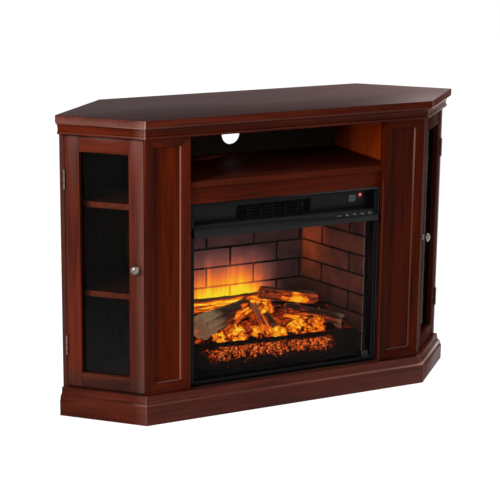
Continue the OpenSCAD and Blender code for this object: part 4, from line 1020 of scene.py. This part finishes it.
def log(name, start, end, r0, r1, seed):
    """Log turned from a cylinder: tapered, its bark stretched along it, its ends ringed. seed
    moves it to another part of the clouds that shape its bark."""
    stretch = 4.0
    bpy.ops.object.select_all(action="DESELECT")
    bpy.ops.mesh.primitive_cylinder_add(vertices=40, radius=r0, end_fill_type="NGON",
                                        depth=(end - start).length / stretch, location=(0, 0, 0))
    piece = bpy.context.active_object
    piece.name = piece.data.name = name
    corners = piece.data.vertices
    for corner in corners:
        if corner.co.z > 0:
            corner.co.x *= r1 / r0
            corner.co.y *= r1 / r0
    pick(piece, "EDGE", lambda e: corners[e.vertices[0]].co.z * corners[e.vertices[1]].co.z < 0)
    bpy.ops.mesh.subdivide(number_cuts=24)
    leave_edit()
    pick(piece, "FACE", lambda face: abs(face.normal.z) > 0.9)
    for share in (0.14, 0.35, 0.30):
        bpy.ops.mesh.inset(thickness=min(r0, r1) * share, use_individual=True)
    leave_edit()
    away = Vector((seed * 0.37, seed * 0.11, seed * 0.23))
    piece.location = away
    settle(piece)
    roughen(piece, clouds(name + "_lumps", r0 * 1.5, 2), r0 * 0.36, 0.52)
    roughen(piece, clouds(name + "_furrows", r0 * 0.28, 4, "HARD_NOISE"), r0 * 0.22, 0.6)
    piece.data.transform(Matrix.Translation(-away))
    piece.scale = (1, 1, stretch)
    piece.rotation_euler = (end - start).to_track_quat("Z", "Y").to_euler()
    piece.location = (start + end) / 2
    settle(piece)
    smooth(piece, 50)
    return piece


for seed, (name, start, end, r0, r1, *looks) in enumerate(LOGS, 1):
    start, end = (Vector(p) - Vector((0, HALF_DEPTH, 0)) for p in (start, end))
    dress(log(name, start, end, r0, r1, seed), "case",
          bark(name + "_bark", start, end, (r0 + r1) / 2, *looks), "log_resin", "log_set")

# ---- ember bed -----------------------------------------------------------

LUMPS = [
    # centre, half its width, depth and height, turn, reach of its glow, power
    ((-0.163, -0.074, 0.179), (0.018, 0.014, 0.020), 0.3, 0.032, 1.0),
    ((-0.106, -0.070, 0.181), (0.034, 0.020, 0.026), 1.1, 0.050, 1.0),
    ((-0.045, -0.070, 0.175), (0.031, 0.019, 0.023), 2.0, 0.046, 0.92),
    ((0.024, -0.072, 0.168), (0.030, 0.018, 0.021), 2.9, 0.046, 1.0),
    ((0.086, -0.068, 0.177), (0.032, 0.020, 0.025), 3.7, 0.048, 1.0),
    ((0.144, -0.062, 0.175), (0.036, 0.020, 0.022), 4.6, 0.048, 0.85),
    ((0.012, -0.001, 0.225), (0.036, 0.018, 0.020), 5.3, 0.046, 0.90),
    ((-0.046, -0.008, 0.230), (0.018, 0.013, 0.013), 0.8, 0.026, 0.85),
    ((-0.229, -0.082, 0.173), (0.014, 0.013, 0.014), 1.6, 0.022, 0.62),
    ((-0.068, -0.086, 0.165), (0.014, 0.010, 0.010), 2.5, 0.0, 0.0),
    ((0.056, -0.086, 0.164), (0.011, 0.009, 0.008), 3.3, 0.0, 0.0),
    ((0.190, -0.060, 0.172), (0.024, 0.020, 0.015), 4.1, 0.0, 0.0),
    ((0.212, -0.020, 0.182), (0.022, 0.026, 0.017), 5.0, 0.0, 0.0),
    ((-0.195, -0.082, 0.166), (0.018, 0.012, 0.012), 5.8, 0.0, 0.0),
]
GLOW_REACH = 0.82  # share of each reach that is used


def coal_lump():
    """One broken lump, a unit in radius, that the others are copied from."""
    bpy.ops.object.select_all(action="DESELECT")
    bpy.ops.mesh.primitive_ico_sphere_add(subdivisions=4, radius=1.0, location=(0, 0, 0))
    piece = bpy.context.active_object
    piece.name = piece.data.name = "coal_lump"
    roughen(piece, clouds("lump_form", 0.7, 2), 1.5, 0.5)
    roughen(piece, clouds("lump_chips", 0.26, 3, "HARD_NOISE"), 0.55, 0.5)
    return piece


def ember_crust():
    """The moulded bed: rough on top and in front, plain at its ends, with lumps laid on it."""
    finest, border, strip, blend = 0.008, 0.02, 0.030, 0.015
    bed = eased("ember_bed", 0)
    bed.name = bed.data.name = "ember_crust"
    edit(bed, ("quads_convert_to_tris", {}), ("subdivide", {"number_cuts": 3}))
    for _ in range(4):
        corners = bed.data.vertices
        pick(bed, "EDGE", lambda e: (corners[e.vertices[0]].co
                                     - corners[e.vertices[1]].co).length > finest)
        bpy.ops.mesh.subdivide(number_cuts=1)
        leave_edit()
    low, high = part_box("ember_bed")
    top, front = (bed.vertex_groups.new(name=name) for name in ("top", "front"))
    for corner in bed.data.vertices:
        x, y, _ = corner.co
        inside = min((x - low[0]) / border, (high[0] - x) / border, (high[1] - y) / border, 1)
        behind = min(max((y - BED_Y - strip) / blend, 0.0), 1.0)
        up = corner.normal.z > 0.3
        if up and inside > 0:
            top.add([corner.index], inside * behind, "REPLACE")
        if corner.normal.y < -0.2 or (up and behind < 1):
            front.add([corner.index], max(inside, 0) * (1 - behind), "REPLACE")
    for texture, strength, level, group in (
            (clouds("bed_heaps", 0.045, 2), 0.026, 0.5, "top"),
            (clouds("bed_chips", 0.012, 3, "HARD_NOISE"), 0.007, 0.5, "top"),
            (clouds("front_chips", 0.010, 3, "HARD_NOISE"), 0.005, 0.6, "front")):
        roughen(bed, texture, strength, level, vertex_group=group)
    pattern = coal_lump()
    lumps = []
    for centre, half, turn, _, _ in LUMPS:
        lump = linked("lump", pattern.data.copy())
        lump.data.transform(Matrix.Translation(centre) @ Matrix.Diagonal((*half, 1))
                            @ Euler((turn, turn * 2, turn * 3)).to_matrix().to_4x4())
        lumps.append(lump)
    bpy.data.objects.remove(pattern)
    only(bed)
    for lump in lumps:
        lump.select_set(True)
    bpy.ops.object.join()
    smooth(bed, 40)
    return bed


hot_lumps = [(centre, reach * GLOW_REACH, power) for centre, _, _, reach, power in LUMPS if power]
dress(ember_crust(), "case", coal("ember_crust", hot_lumps), "ember_resin", "ember_bed")

# ---- studio --------------------------------------------------------------

WHITE, WARM = (1, 1, 1), (1.0, 0.72, 0.45)
MIDDLE = (0, 0, 0.4)
LAMPS = [
    # name, place, what it points at, width, power, colour
    ("key", (-3.7, -1.5, 1.9), MIDDLE, 1.6, 100, WHITE),
    ("fill", (-0.6, -4.4, 2.6), MIDDLE, 2.0, 12, WHITE),
    ("top", (1.15, 0.60, 1.40), MIDDLE, 0.5, 24, (1.0, 0.86, 0.82)),
    ("rim", (3.2, -0.6, 2.6), MIDDLE, 0.7, 4, WHITE),
    ("hearth", (-0.06, -0.080, 0.480), (0.02, 0.08, 0.22), 0.10, 0.38, WHITE),
]
BAY_LAMP, BAY_CORNER = (-1.9, -1.35, 0.80), (0.294, -0.05, 0.705)


def in_view(f):
    """1 for what the camera sees, also in metal and through glass."""
    seen = f.node("ShaderNodeLightPath", {}, output="Is Camera Ray")
    for kind in ("Is Glossy Ray", "Is Transmission Ray"):
        seen = seen.most(f.node("ShaderNodeLightPath", {}, output=kind))
    return seen


def floor():
    """Pale floor that looks white and keeps the shadow."""
    bpy.ops.object.select_all(action="DESELECT")
    bpy.ops.mesh.primitive_plane_add(size=14, location=(0, 0, -0.0005))
    piece = bpy.context.active_object
    piece.name = "studio_floor"
    f = Finish("studio_floor")
    soft = f.noise(f.place, 3.0, 2.0)
    paint = f.node("ShaderNodeBsdfDiffuse", {}, f.mix(soft, (0.80, 0.80, 0.80), (0.82, 0.82, 0.82)))
    bright = f.node("ShaderNodeEmission", {}, (1, 1, 1, 1), 1.25)
    piece.data.materials.append(
        f.end(f.node("ShaderNodeMixShader", {}, in_view(f) * 0.8, paint, bright)))
    piece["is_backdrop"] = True


def backdrop():
    """World that is white where it is in view, and a soft fill elsewhere."""
    f = Finish("studio", "World")
    fill, white = (f.node("ShaderNodeBackground", {}, (1, 1, 1, 1), power) for power in (0.24, 1.0))
    bpy.context.scene.world = f.end(f.node("ShaderNodeMixShader", {}, in_view(f), fill, white))


def hang(lamp, place, aim):
    holder = linked(lamp.name, lamp)
    holder.location = place
    holder.rotation_euler = (Vector(aim) - holder.location).to_track_quat("-Z", "Y").to_euler()


def lamps():
    for name, place, aim, width, power, colour in LAMPS:
        lamp = bpy.data.lights.new(name, "AREA")
        lamp.shape, lamp.size, lamp.energy, lamp.color = "SQUARE", width, power, colour
        hang(lamp, place, aim)
    lamp = bpy.data.lights.new("bay", "SPOT")
    lamp.energy, lamp.spot_size, lamp.spot_blend = 40, math.radians(4.6), 0.6
    lamp.shadow_soft_size, lamp.color = 0.04, WARM
    hang(lamp, BAY_LAMP, BAY_CORNER)


def camera():
    place, lens = (-2.0410, -3.9722, 1.5075), 117.83
    yaw, pitch, roll = 0.467748, 0.244206, 0.0108036
    ahead = Vector((math.sin(yaw) * math.cos(pitch), math.cos(yaw) * math.cos(pitch),
                    -math.sin(pitch)))
    right = Vector((math.cos(yaw), -math.sin(yaw), 0))
    up = right.cross(ahead)
    level = right * math.cos(roll) + up * math.sin(roll)
    lift = up * math.cos(roll) - right * math.sin(roll)
    made = bpy.data.cameras.new("camera")
    made.lens, made.sensor_width = lens, 36
    holder = linked("camera", made)
    turned = Matrix((level, lift, -ahead)).transposed().to_4x4()
    holder.matrix_world = Matrix.Translation(place) @ turned
    bpy.context.scene.camera = holder


floor()
backdrop()
lamps()
camera()
bpy.context.scene.view_settings.view_transform = "Standard"

{"cad": [list(p) for p in cad_box], "visual": [list(p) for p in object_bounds()]}
